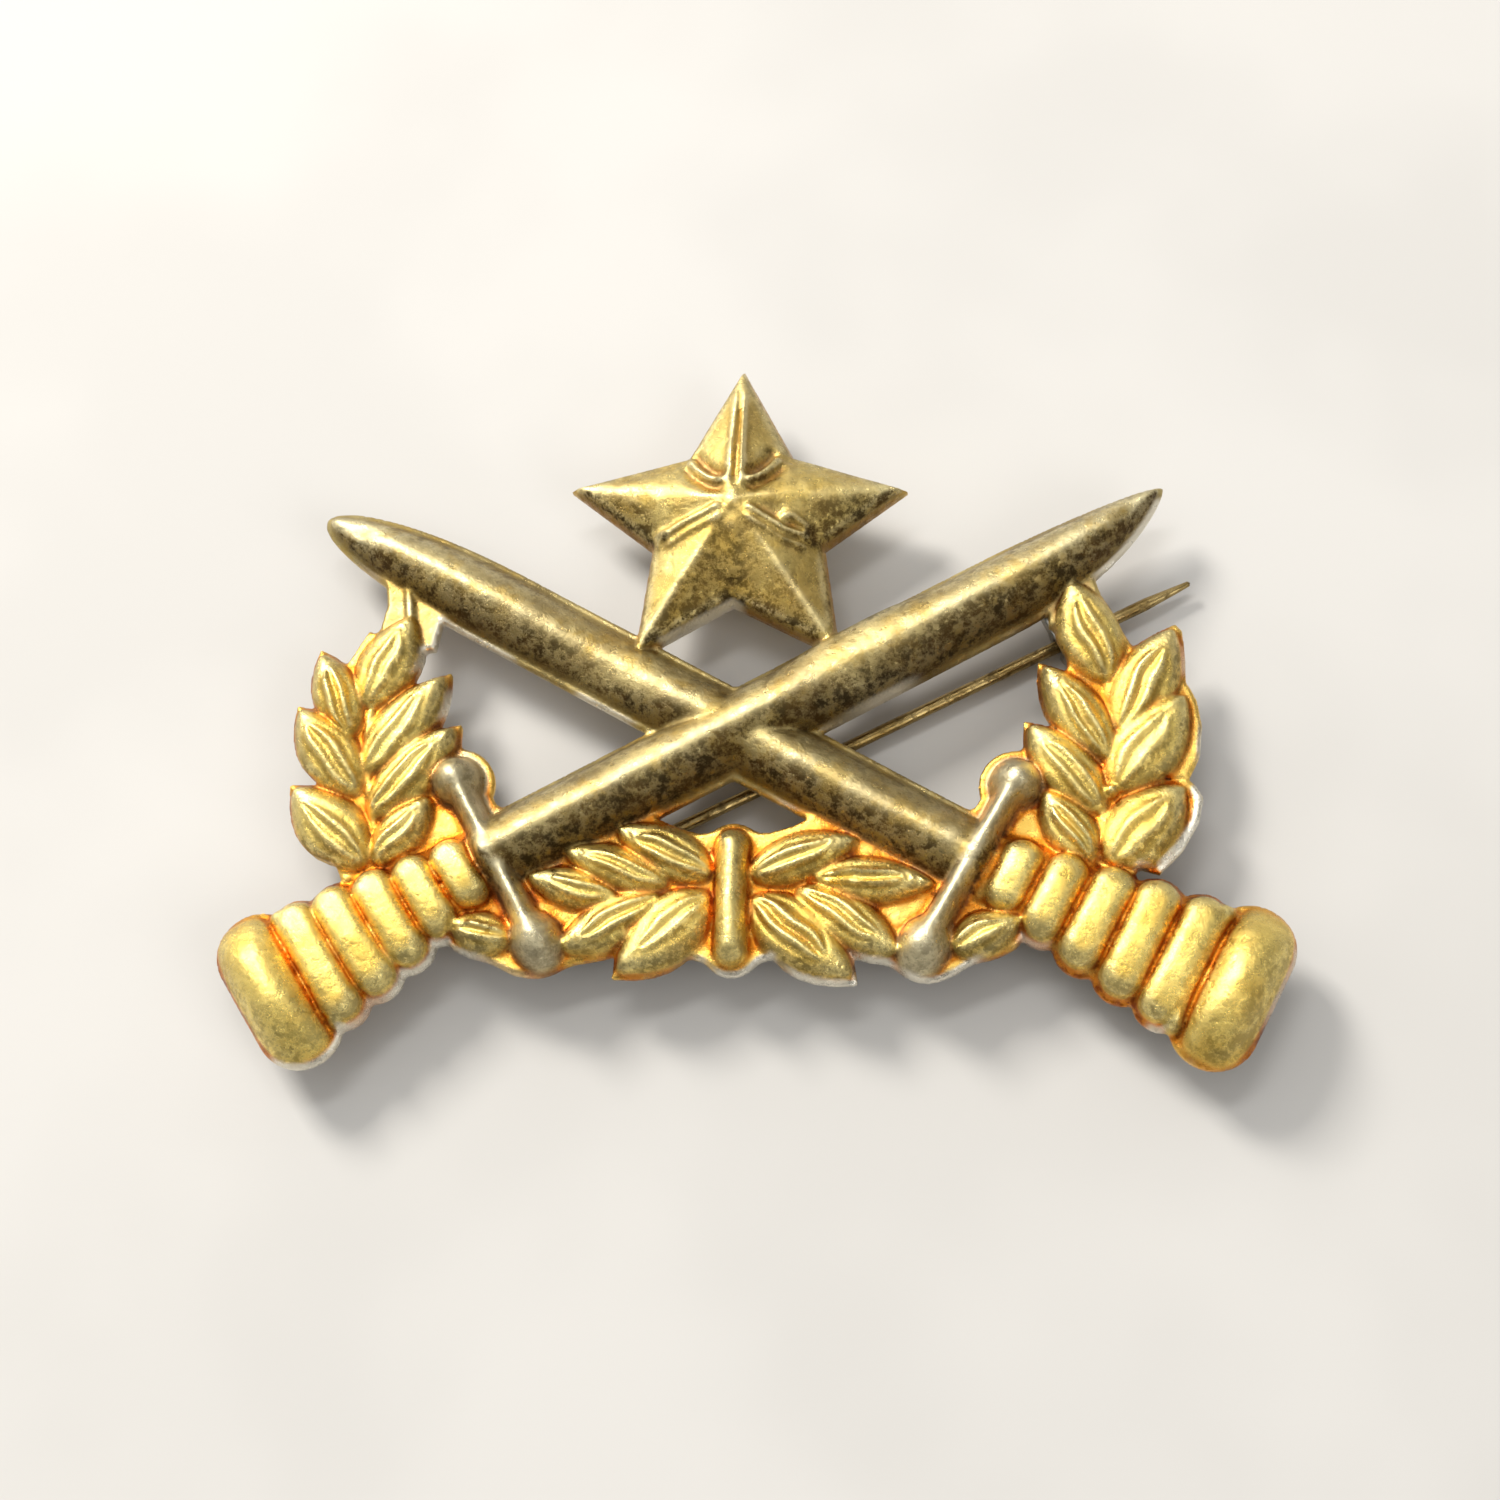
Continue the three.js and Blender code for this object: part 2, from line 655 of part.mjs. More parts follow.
const fitting = new THREE.Group();
fitting.add(
  node("hinge_base_plate", pad(0, HINGE_PLATE), BRASS, 0.45),
  node("hinge_solder", fillet(0, HINGE_PLATE), SOLDER, 0.5),
  node("hinge_bracket", hingeBracket(), BRASS, 0.4),
  node("hinge_rivet", hingeRivet(), NICKEL, 0.35),
  node("pin_wire", pinWire(), NICKEL, 0.35),
  node("catch_base_plate", pad(CATCH_AT, CATCH_PLATE), BRASS, 0.45),
  node("catch_solder", fillet(CATCH_AT, CATCH_PLATE), SOLDER, 0.5),
  node("catch_barrel", catchBarrel(), BRASS, 0.4),
  node("catch_lock_sleeve", catchSleeve(), NICKEL, 0.35),
);
fitting.position.set(...PIN.hinge, 0);
fitting.rotation.z = radians(PIN.angle);

const badge = new THREE.Group();
badge.add(node("struck_face", struckFace(), GILT, 0.35), fitting);

// The origin is under the middle of the badge, at the height of what it rests on.
const box = new THREE.Box3().setFromObject(badge, true);
const middle = box.getCenter(new THREE.Vector3());
badge.position.set(-middle.x, -middle.y, -box.min.z);

export default badge;
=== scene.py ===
import math

import bmesh
import bpy
import numpy as np
from mathutils import Matrix, Vector
from mathutils.geometry import delaunay_2d_cdt


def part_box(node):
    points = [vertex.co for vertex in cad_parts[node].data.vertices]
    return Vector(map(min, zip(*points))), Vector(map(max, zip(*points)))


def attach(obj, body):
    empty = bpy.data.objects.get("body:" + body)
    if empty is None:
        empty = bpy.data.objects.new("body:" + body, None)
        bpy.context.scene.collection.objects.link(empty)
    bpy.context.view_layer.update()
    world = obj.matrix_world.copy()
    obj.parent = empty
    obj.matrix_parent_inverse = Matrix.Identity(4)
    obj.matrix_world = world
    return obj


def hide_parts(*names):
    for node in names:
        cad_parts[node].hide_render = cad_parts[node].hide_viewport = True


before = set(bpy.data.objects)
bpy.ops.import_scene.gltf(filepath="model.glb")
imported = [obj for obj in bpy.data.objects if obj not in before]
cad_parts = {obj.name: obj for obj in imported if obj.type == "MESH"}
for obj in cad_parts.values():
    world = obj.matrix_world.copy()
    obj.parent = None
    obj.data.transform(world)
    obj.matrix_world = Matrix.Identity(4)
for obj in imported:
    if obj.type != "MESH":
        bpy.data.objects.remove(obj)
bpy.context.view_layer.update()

MM = 0.001

# ---- Driving dimensions of the face, in millimetres --------------------------------------------
# Plane coordinates are the face's own: the star points along +Y and heights start at the back plane.

FACE_MIDDLE = (0.9314, -0.1944)  # middle of the face's box in those coordinates
CELL = 0.14
RIM = 0.6
SHEET = 0.5
DRAFT = 2.6  # steepness of the foot of a raised form
SOFTEN = 0.13  # radius of the creases between raised forms

# The star's tips and notches in turn, clockwise from the top, and its highest point.
STAR_CORNERS = [(0.1, 22.6), (3.4, 16.3), (10.65, 13.9), (5.45, 10.0), (6.45, 2.75),
                (-0.3, 6.3), (-6.45, 2.75), (-5.5, 10.1), (-10.85, 14.35), (-3.35, 16.35)]
STAR_APEX = (-0.2, 12.3, 3.85)
STAR_FOOT = 1.2
STAR_INSET = 0.38
# The star's share of silvering also scales the painted shade on its slopes.
STAR_SILVER = 0.6
# The top arm's groove and the thin ridge at each side of it: offset, half width and height.
TOP_ARM_LINE = ((0.06, 21.4), (-0.1, 13.0))
TOP_ARM_RIDGES = [(-0.46, 0.24, 0.26), (0.42, 0.24, 0.3), (-0.02, 0.21, -0.42)]
# Crescent lips at the foot of the top arm, and the lines in the valleys under the side arms.
STAR_LIPS = [[(-3.2, 15.9), (-2.6, 14.8), (-1.75, 14.0), (-0.75, 13.5)],
             [(2.6, 15.9), (2.2, 15.0), (1.6, 14.3), (0.6, 13.5)]]
STAR_VALLEYS = [[(-0.8, 11.95), (-2.0, 11.5), (-3.4, 10.95), (-4.9, 10.3)],
                [(0.5, 11.9), (1.7, 11.25), (3.0, 10.5), (4.8, 10.1)]]
STAR_BLOBS = [[(2.6, 11.3), (3.6, 11.3), (4.4, 10.8), (4.7, 10.3)],
              [(-4.3, 10.5), (-4.9, 10.5), (-5.2, 10.0)]]
LOWER_VALLEY = [(-0.22, 11.4), (-0.3, 7.2)]
BLADE = dict(half=2.3, nose=13.0, rim=0.3)
GUARD = dict(up=5.3, down=5.8, neck=0.8, end=1.15, low=0.9, top=2.9, rim_half=1.5)
GUARD_BALLS = dict(up=1.65, down=1.8, low=0.5, up_top=3.05, down_top=3.1)
POMMEL = dict(half=4.8, radius=2.25, low=0.7, top=3.4, at=16.2, thick=2.3)
COLLAR = dict(back=2.5, inset=0.7, radius=0.5, low=1.4, top=2.2)
GRIP_CORE = dict(half=2.3, widening=2.2, low=0.6, top=1.8)
# Distance from the guard, half length and radius of each grip rib.
RIBS = [(2.55, 2.4, 1.3), (5.15, 2.85, 1.35), (7.8, 3.35, 1.42), (10.45, 3.8, 1.45),
        (13.1, 4.15, 1.4)]
RIB_LOW = 0.95
RIB_TOP = 2.6
# sharp is how pointed the nose is, and lean how far its point lies off the middle line.
BACK_SWORD = dict(guard=(14.5, -10.3), blade=150.6, handle=-27.5, length=46.8,
                  base=0.35, top=2.7, grip=1.04, sharp=0.5, lean=0.25)
FRONT_SWORD = dict(guard=(-14.6, -9.9), blade=28.3, handle=-147.0, length=47.2,
                   base=0.7, top=3.2, grip=0.94, sharp=0.72, lean=1.3)

# Leaves: root x, root y, tip x, tip y, width.
RIGHT_WREATH = [
    (22.9, 0.7, 20.5, 7.5, 4.0), (23.3, -2.6, 26.8, 4.1, 4.0), (22.8, -6.2, 27.3, -0.2, 4.4),
    (22.3, -10.7, 27.1, -6.0, 4.6), (22.9, -4.2, 18.9, 1.8, 3.4), (22.2, -7.5, 18.0, -2.0, 3.7),
    (21.6, -10.6, 18.7, -6.2, 3.2),
]
LEFT_WREATH = [
    (-23.3, -0.3, -20.5, 5.6, 3.9), (-23.9, -2.3, -26.2, 3.2, 3.2), (-23.3, -6.0, -27.3, -0.5, 3.9),
    (-22.4, -10.6, -27.3, -5.6, 4.2), (-23.0, -4.6, -18.3, 1.6, 3.7), (-22.4, -7.5, -17.5, -1.8, 3.7),
    (-22.0, -10.5, -18.7, -6.3, 3.1),
]
GARLAND = [
    (0.9, -11.3, 7.5, -9.1, 3.2), (4.8, -11.4, 12.1, -11.9, 3.0), (3.9, -12.1, 10.1, -16.2, 3.4),
    (1.1, -12.7, 7.1, -17.5, 4.3), (12.8, -15.8, 17.4, -14.0, 2.9), (-1.1, -11.3, -7.1, -8.3, 3.3),
    (-3.8, -11.9, -10.3, -9.7, 3.0), (-6.7, -12.8, -12.5, -11.3, 2.7),
    (-4.1, -12.6, -10.5, -15.9, 3.3), (-1.3, -12.4, -6.7, -17.1, 4.3),
    (-13.2, -15.4, -17.2, -14.2, 2.8),
]
LEAF = dict(low=0.75, root=0.7, top=2.05, rim_share=0.82, silver=0.18, flute=0.9)
TIE = dict(top=-8.4, bottom=-16.9, radius=1.15, height=2.5)
STEM = [(21.4, -11.0, 2.6), (22.5, -6.5, 3.2), (23.0, -2.5, 3.0), (22.7, 1.2, 2.5), (21.9, 4.5, 1.5)]
GARLAND_WEB = [
    (0, -8.6), (2.2, -8.55), (3.6, -8.15), (5.5, -7.2), (9.0, -8.4), (14.5, -11.6), (18.6, -12.4),
    (17.0, -15.6), (13.2, -17.1), (9.6, -16.6), (5.0, -15.6), (0, -16.9),
]
RIGHT_TAB = [(19.3, 4.6), (23.3, 3.9), (22.0, 8.3), (21.6, 9.6), (19.2, 8.6)]
LEFT_TAB = [(-19.1, 3.6), (-23.0, 3.4), (-22.3, 6.6), (-22.6, 9.2), (-18.3, 7.4)]
RIGHT_SHOULDER = [(15.6, -9.0), (17.2, -5.4), (20.0, -4.8), (21.5, -11.0), (17.5, -12.5)]
# Plain rim outside the right wreath: along its outer leaves, and bent beside the lowest one.
RIGHT_FLANGE = [(24.5, 3.0), (26.9, 4.5), (27.4, 4.2), (27.5, 0.9), (28.1, -0.3), (28.35, -2.0),
                (28.15, -3.9), (27.4, -5.4), (24.5, -5.0)]
LOWER_FLANGE = [(25.0, -5.6), (27.2, -5.5), (27.8, -5.7), (28.25, -6.5), (27.95, -8.0),
                (26.9, -9.8), (25.5, -11.2), (23.5, -10.6)]
# The bent rim is bare along its lip, with a crease between it and the leaf.
LOWER_LIP = [(27.8, -6.0), (28.05, -6.7), (27.75, -8.0), (26.75, -9.6), (25.6, -10.8)]
LOWER_CREASE = [(27.2, -6.4), (27.25, -7.4), (26.6, -8.9), (25.6, -10.1)]
STEM_BEAD = (22.75, -6.2)
STALKS = [[(-21.1, 9.0), (-20.7, 5.6)]]

CROSSING = 26.3  # where the swords cross, from the back sword's guard
FRONT_CROSSING = 26.0
CROSSING_SINK = 0.75  # the back blade is lower there, and the front one's foot higher
CROSSING_LIFT = 0.95

PIN_HINGE = (-9.5, -10.3)
PIN_ANGLE = 26.4
CATCH_AT = 34.4
HINGE_PLATE = (5.2, 4.0)
CATCH_PLATE = (2.8, 3.4)
BACK_SKIN = 0.32  # least thickness of the sheet anywhere
BACK_SPACING = 0.34  # grid of the back, wider than the front's

face_low, face_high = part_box("struck_face")
SHIFT = np.array([
    (face_low.x + face_high.x) / 2 / MM - FACE_MIDDLE[0],
    (face_low.y + face_high.y) / 2 / MM - FACE_MIDDLE[1],
    face_low.z / MM,
])

rng = np.random.default_rng(7)

# ---- Fields over the plane of the face ------------------------------------------------------------

margin = 1.2
xs = np.arange(face_low.x / MM - SHIFT[0] - margin, face_high.x / MM - SHIFT[0] + margin, CELL)
ys = np.arange(face_low.y / MM - SHIFT[1] - margin, face_high.y / MM - SHIFT[1] + margin, CELL)
X, Y = np.meshgrid(xs, ys, indexing="ij")
outline = np.full(X.shape, 9.0)  # distance to the outline, negative inside
relief = np.full(X.shape, -9.0)  # height of the front
silver = np.zeros(X.shape)  # 1 where the face is silvered, 0 where it is gilt
polish = np.zeros(X.shape)  # 1 where it is rubbed bright


def heading(angle):
    return np.array([math.cos(math.radians(angle)), math.sin(math.radians(angle))])


def along(start, angle, distance):
    return np.array(start, float) + distance * heading(angle)


def smooth_max(a, b, k):
    h = np.clip(k - np.abs(a - b), 0, None) / k
    return np.maximum(a, b) + h * h * k / 4


def smooth_min(a, b, k):
    return -smooth_max(-a, -b, k)


def smooth_step(low, high, value):
    t = np.clip((value - low) / (high - low), 0, 1)
    return t * t * (3 - 2 * t)


def blur(field, sigma):
    """Gaussian blur, with sigma in millimetres."""
    fx = np.fft.fftfreq(field.shape[0], CELL)[:, None]
    fy = np.fft.rfftfreq(field.shape[1], CELL)[None, :]
    weight = np.exp(-2 * (math.pi * sigma) ** 2 * (fx * fx + fy * fy))
    return np.fft.irfft2(np.fft.rfft2(field) * weight, s=field.shape)


def noise(size):
    """Seeded smooth noise with features of that size in millimetres and a spread of 1."""
    made = blur(rng.standard_normal(X.shape), size / 2.5)
    return (made - made.mean()) / made.std()


class Patch:
    """The part of the grid around some points."""

    def __init__(self, points, reach=2.5):
        points = np.asarray(points, float)
        low, high = points.min(0) - reach, points.max(0) + reach
        i = np.clip(np.searchsorted(xs, [low[0], high[0]]), 0, len(xs))
        j = np.clip(np.searchsorted(ys, [low[1], high[1]]), 0, len(ys))
        self.at = (slice(*i), slice(*j))
        self.x, self.y = X[self.at], Y[self.at]

    def frame(self, start, angle):
        """Distances along and to the left of a line."""
        c, s = heading(angle)
        dx, dy = self.x - start[0], self.y - start[1]
        return c * dx + s * dy, c * dy - s * dx

    def polygon(self, points):
        """Signed distance to a closed polygon."""
        points = np.asarray(points, float)
        nearest = np.full(self.x.shape, np.inf)
        inside = np.zeros(self.x.shape, bool)
        for a, b in zip(points, np.roll(points, -1, 0)):
            nearest = np.minimum(nearest, self.segment(a, b))
            if a[1] != b[1]:
                at = (b[0] - a[0]) * (self.y - a[1]) / (b[1] - a[1]) + a[0]
                inside ^= ((a[1] > self.y) != (b[1] > self.y)) & (self.x < at)
        return np.where(inside, -nearest, nearest)

    def segment(self, a, b):
        """Distance to a segment."""
        d = np.asarray(b, float) - a
        t = ((self.x - a[0]) * d[0] + (self.y - a[1]) * d[1]) / max(d @ d, 1e-9)
        t = np.clip(t, 0, 1)
        return np.hypot(self.x - a[0] - t * d[0], self.y - a[1] - t * d[1])

    def path(self, points):
        """Distance to a polyline."""
        return np.minimum.reduce([self.segment(a, b) for a, b in zip(points, points[1:])])

    def add(self, edge=None, height=None, silvered=0.0, polished=0.0, fillet=0.3, crease=SOFTEN):
        """Joins a form to the face: its outline, its height and its finish."""
        if edge is not None:
            outline[self.at] = smooth_min(outline[self.at], edge, fillet)
        if height is not None:
            share = smooth_step(-0.12, 0.12, height - relief[self.at])
            silver[self.at] += share * (silvered - silver[self.at])
            polish[self.at] += share * (polished - polish[self.at])
            relief[self.at] = smooth_max(relief[self.at], height, crease)


def dome(u, peak=0.0):
    """Height across a form: 1 on its middle line, 0 at its foot (u = 1). peak makes it roof-like."""
    u = np.clip(np.abs(u), 0, 1)
    cut = 0.93
    foot = math.sqrt(1 - cut * cut)
    rounded = (np.sqrt(1 - (cut * u) ** 2) - foot) / (1 - foot)
    roof = 1 - (np.sqrt(u * u + 0.014) - 0.118) / 0.889
    return (1 - peak) * rounded + peak * roof


def raised(distance, half, low, high, peak=0.0):
    """Height of a form whose middle line is that far away."""
    foot = np.clip(np.abs(distance) - half, 0, None)
    return low + (high - low) * dome(distance / np.maximum(half, 1e-6), peak) - DRAFT * foot


# ---- Star -------------------------------------------------------------------------------------------

STAR_MIDDLE = np.array(STAR_APEX[:2])


def star_gauge(patch, inset):
    """0 under the star's highest point and 1 on the outline drawn in by that share of a millimetre."""
    corners = []
    for corner in STAR_CORNERS:
        line = np.array(corner) - STAR_MIDDLE
        reach = np.linalg.norm(line)
        corners.append(line * (1 - inset * (0.2 + 0.08 * reach) / reach))
    dx, dy = patch.x - STAR_MIDDLE[0], patch.y - STAR_MIDDLE[1]
    gauge = np.zeros(dx.shape)
    for a, b in zip(corners, corners[1:] + corners[:1]):
        cross = a[0] * b[1] - a[1] * b[0]
        alpha = (dx * b[1] - dy * b[0]) / cross
        beta = (a[0] * dy - a[1] * dx) / cross
        inside = (alpha >= -1e-9) & (beta >= -1e-9)
        gauge = np.where(inside, np.maximum(gauge, alpha + beta), gauge)
    return gauge


def thin_ridge(patch, points, half, height, taper=0.25):
    """A raised line to be added on top of a form; it fades at both ends."""
    points = [np.array(p, float) for p in points]
    distance = patch.path(points)
    start, end = points[0], points[-1]
    reach = np.linalg.norm(end - start)
    t = ((patch.x - start[0]) * (end - start)[0] + (patch.y - start[1]) * (end - start)[1]) / reach**2
    fade = smooth_step(-0.02, taper, t) * smooth_step(-0.02, taper, 1 - t)
    return height * fade * np.exp(-((distance / half) ** 2))


def star_body(patch):
    """The star's pyramid, with side arms that are rounder than the others."""
    body = star_gauge(patch, STAR_INSET)
    height = STAR_FOOT + (STAR_APEX[2] - STAR_FOOT) * np.clip(1 - body, 0, 1) ** 0.8
    height -= 22.0 * np.clip(body - 1, 0, None)
    soft = np.zeros(X.shape)
    soft[patch.at] = np.clip(height, 0, None)
    soft = blur(soft, 0.6)[patch.at]
    side = smooth_step(1.6, 3.6, np.abs(patch.x)) * smooth_step(8.8, 11.5, patch.y)
    inside = smooth_step(1.0, 0.75, body)
    return height + (soft + 0.18 - height) * side * inside * 0.9


def beside(line, spread, shift):
    """A copy of a line, spread from the star's middle line and shifted along it."""
    return [(x * spread, y + shift) for x, y in line]


def add_star():
    patch = Patch(STAR_CORNERS)
    height = star_body(patch)
    top, foot = TOP_ARM_LINE
    for offset, half, amount in TOP_ARM_RIDGES:
        line = [(top[0] + offset * 0.4, top[1]), (foot[0] + offset, foot[1])]
        height += thin_ridge(patch, line, half, amount, 0.15)
    for lip in STAR_LIPS:
        height += thin_ridge(patch, lip, 0.3, 0.6, 0.15)
        height += thin_ridge(patch, beside(lip, 0.9, 0.6), 0.4, -0.45, 0.15)
        height += thin_ridge(patch, beside(lip, 1.1, -0.55), 0.35, -0.25, 0.15)
    for valley in STAR_VALLEYS:
        height += thin_ridge(patch, valley, 0.25, 0.5, 0.12)
        height += thin_ridge(patch, beside(valley, 0.97, -0.62), 0.2, 0.32, 0.12)
    for blob in STAR_BLOBS:
        height += thin_ridge(patch, blob, 0.34, 0.4, 0.15)
    height += thin_ridge(patch, LOWER_VALLEY, 0.5, 0.25, 0.2)
    patch.add(patch.polygon(STAR_CORNERS), height, silvered=STAR_SILVER)


# ---- Swords -----------------------------------------------------------------------------------------


def nose(sword, s, extra=0.0):
    """Half width of a blade at a distance from its guard, and how far its middle line has moved."""
    from_point = sword["length"] + extra - s
    t = np.clip(from_point / BLADE["nose"], 0, 1)
    half = (BLADE["half"] + extra) * np.clip(1 - (1 - t) ** 2, 0, 1) ** sword["sharp"]
    return half, sword["lean"] * (1 - t) ** 2.5


def blade_outline(sword):
    reach = sword["length"] + BLADE["rim"]
    stations = np.append([0, reach - BLADE["nose"]],
                         reach - BLADE["nose"] * (1 - np.sin(np.linspace(0.1, math.pi / 2, 18))))
    left, right = [], []
    for s in stations:
        half, off = nose(sword, s, BLADE["rim"])
        middle = along(sword["guard"], sword["blade"], s)
        side = heading(sword["blade"] + 90)
        left.append(middle + (off + half) * side)
        right.append(middle + (off - half) * side)
    return np.array(right + left[::-1])


def blade_height(patch, sword, base, top):
    s, t = patch.frame(sword["guard"], sword["blade"])
    half, off = nose(sword, s)
    share = (half / BLADE["half"]) ** 0.7
    height = raised(t - off, half, base, base + (top - base) * share, peak=0.18)
    # a shallow dish just before the point
    dish = ((s - sword["length"] + 2.6) / 1.3) ** 2 + ((t - off) / 0.55) ** 2
    height -= 0.35 * np.exp(-dish)
    return height - DRAFT * np.clip(-0.6 - s, 0, None), half


def add_blades():
    back, front = BACK_SWORD, FRONT_SWORD
    points = [back["guard"], along(back["guard"], back["blade"], back["length"])]
    patch = Patch(points, 4.0)
    s, _ = patch.frame(back["guard"], back["blade"])
    sink = CROSSING_SINK * np.exp(-(((s - CROSSING) / 4.2) ** 2))
    height, _ = blade_height(patch, back, back["base"], back["top"] - sink)
    patch.add(patch.polygon(blade_outline(back)), height, silvered=1.0, fillet=0.25)

    points = [front["guard"], along(front["guard"], front["blade"], front["length"])]
    patch = Patch(points, 4.0)
    s, t = patch.frame(front["guard"], front["blade"])
    over = np.exp(-(((s - FRONT_CROSSING) / 4.0) ** 4))
    base = front["base"] + CROSSING_LIFT * over
    height, half = blade_height(patch, front, base, front["top"])
    below = relief[patch.at].copy()
    patch.add(patch.polygon(blade_outline(front)), None, fillet=0.25)
    cover = smooth_step(0.12, -0.12, np.abs(t) - half) * smooth_step(-0.8, -0.4, s)
    relief[patch.at] = np.where(over > 0.02, below + (height - below) * cover, below)
    patch.add(None, height, silvered=1.0)
    relief[patch.at] = np.where((over > 0.02) & (cover > 0.99), height, relief[patch.at])
    silver[patch.at] = np.maximum(silver[patch.at], cover)


def add_guard(sword):
    up = sword["blade"] + (-90 if sword["handle"] > -90 else 90)
    centre = np.array(sword["guard"])
    patch = Patch([centre], 9.5)
    ends = [(up, GUARD["up"], GUARD_BALLS["up"]), (up + 180, GUARD["down"], GUARD_BALLS["down"])]
    for angle, reach, ball in ends:
        s, t = patch.frame(centre, angle)
        share = np.clip(s / reach, 0, 1)
        half = GUARD["end"] + (GUARD["neck"] - GUARD["end"]) * np.sin(math.pi * share) ** 0.7
        over = np.clip(s - reach, 0, None) + np.clip(-s, 0, None)
        arm = raised(np.hypot(t, over), half, GUARD["low"], GUARD["top"])
        at = along(centre, angle, reach)
        away = np.hypot(patch.x - at[0], patch.y - at[1])
        if reach == GUARD["up"]:
            knob = raised(away, ball, GUARD_BALLS["low"], GUARD_BALLS["up_top"])
        else:
            # the lower knob is longer than it is wide
            away_long = np.hypot(t, (s - reach - 0.35) / 1.22)
            knob = raised(away_long, 0.93 * ball, GUARD_BALLS["low"], GUARD_BALLS["down_top"])
        edge = np.minimum(patch.segment(centre, at) - GUARD["rim_half"], away - ball - RIM)
        patch.add(edge, None, fillet=0.6)
        patch.add(None, arm, silvered=1.0, polished=1.0, crease=0.5)
        patch.add(None, knob, silvered=1.0, polished=1.0, crease=0.45)


def pill(patch, centre, angle, half, radius):
    """Distance to the middle line of a pill, and the place along it from -1 to 1."""
    reach = half - radius
    s, _ = patch.frame(centre, angle)
    ends = [along(centre, angle, -reach), along(centre, angle, reach)]
    return patch.segment(*ends), s / half


def add_handle(sword):
    across, grip = sword["handle"] + 90, sword["grip"]
    centre = np.array(sword["guard"])
    pommel_at = along(centre, sword["handle"], POMMEL["at"] * grip)
    patch = Patch([centre, pommel_at], 6.5)
    s, t = patch.frame(centre, sword["handle"])
    share = np.clip(s / (POMMEL["at"] * grip), 0, 1)
    core = raised(t, GRIP_CORE["half"] + GRIP_CORE["widening"] * share,
                  GRIP_CORE["low"], GRIP_CORE["top"])
    core -= DRAFT * (np.clip(-0.3 - s, 0, None) + np.clip(s - POMMEL["at"] * grip, 0, None))
    patch.add(None, core)
    for k, (distance, half, radius) in enumerate(RIBS):
        tilt = 1.5 * math.sin(2.3 * k + grip)
        at = along(centre, sword["handle"], distance * grip)
        away, place = pill(patch, at, across + tilt, half, radius)
        u = np.clip(away / radius, 0, 1)
        height = RIB_LOW + (RIB_TOP - 0.5 * place**2 - RIB_LOW) * np.sqrt(1 - u**3.2)
        height -= DRAFT * np.clip(away - radius, 0, None)
        rim, _ = pill(patch, at, across, half + 0.3, radius + 0.4)
        patch.add(rim - radius - 0.4, height, fillet=0.25, crease=0.12)
    # the pommel is a barrel, with a crease and a low collar on the side of the grip
    middle = POMMEL["at"] * grip + 0.3
    u, v = (s - middle) / POMMEL["thick"], t / (POMMEL["half"] + 0.15)
    ring = (np.abs(u) ** 2.8 + np.abs(v) ** 3.2) ** (1 / 3)
    height = raised(ring * POMMEL["thick"], POMMEL["thick"], POMMEL["low"], POMMEL["top"] - 0.5 * v**2)
    patch.add(None, height, crease=0.12)
    collar_at = along(centre, sword["handle"], middle - COLLAR["back"])
    collar, place = pill(patch, collar_at, across, POMMEL["half"] - COLLAR["inset"], COLLAR["radius"])
    height = raised(collar, COLLAR["radius"], COLLAR["low"], COLLAR["top"] - 0.4 * place**2)
    patch.add(None, height, crease=0.2)
    rim, _ = pill(patch, pommel_at, across, POMMEL["half"] + 0.4, POMMEL["radius"] + 0.4)
    patch.add(rim - POMMEL["radius"] - 0.4, None, fillet=0.25)


# ---- Wreath and garland -----------------------------------------------------------------------------


def leaf_outline(root, tip, width, bulge, end):
    """An almond with its widest place a little past the middle."""
    line = tip - root
    length = np.linalg.norm(line)
    side = np.array([-line[1], line[0]]) / length
    rim_tip = tip + line / length * end
    control = root + line * 0.55
    points = []
    for sign, a, b in [(-1, root, rim_tip), (1, rim_tip, root)]:
        c = control + sign * side * (width + 2 * bulge)
        for k in range(8):
            u = k / 8
            points.append((1 - u) ** 2 * a + 2 * u * (1 - u) * c + u * u * b)
    return points


wobble = noise(1.6)


def add_leaf(leaf):
    root, tip, width = np.array(leaf[:2]), np.array(leaf[2:4]), leaf[4]
    line = tip - root
    length = np.linalg.norm(line)
    angle = math.degrees(math.atan2(line[1], line[0]))
    edge_points = leaf_outline(root, tip, LEAF["rim_share"] * width, 0.3, 0.6)
    patch = Patch([root, tip], 3.0)
    s, t = patch.frame(root, angle)
    u = np.clip(s / length, 0, 1)
    half = (width / 2) * np.sin(math.pi * u**0.88) ** 0.66
    over = np.clip(-s, 0, None) + np.clip(s - length, 0, None)
    away = np.hypot(t, over)
    rise = (LEAF["top"] - LEAF["root"]) * np.clip(2 * half / width, 0, 1) ** 0.5
    crown = LEAF["root"] + rise + 0.35 * (u - 0.5)
    share = np.clip(away / np.maximum(half, 1e-6), 0, 1)
    height = LEAF["low"] + (crown - LEAF["low"]) * (1 - share**2.2) ** 0.75
    height = height - DRAFT * np.clip(away - half, 0, None)
    # flutes that follow the leaf's shape around a slit
    almond = 0.3 * width * np.sqrt(np.clip(1 - ((u - 0.42) / 0.36) ** 2, 0.02, 1))
    r = np.abs(t + 0.1 * wobble[patch.at]) / almond
    depth = 0.15 + 0.05 * math.sin(5.1 * root[0] + 3.7 * root[1])
    height -= depth * np.cos(2 * math.pi * r / LEAF["flute"]) * smooth_step(1.2, 0.75, r)
    patch.add(patch.polygon(edge_points), height, silvered=LEAF["silver"],
              fillet=0.3, crease=0.1)


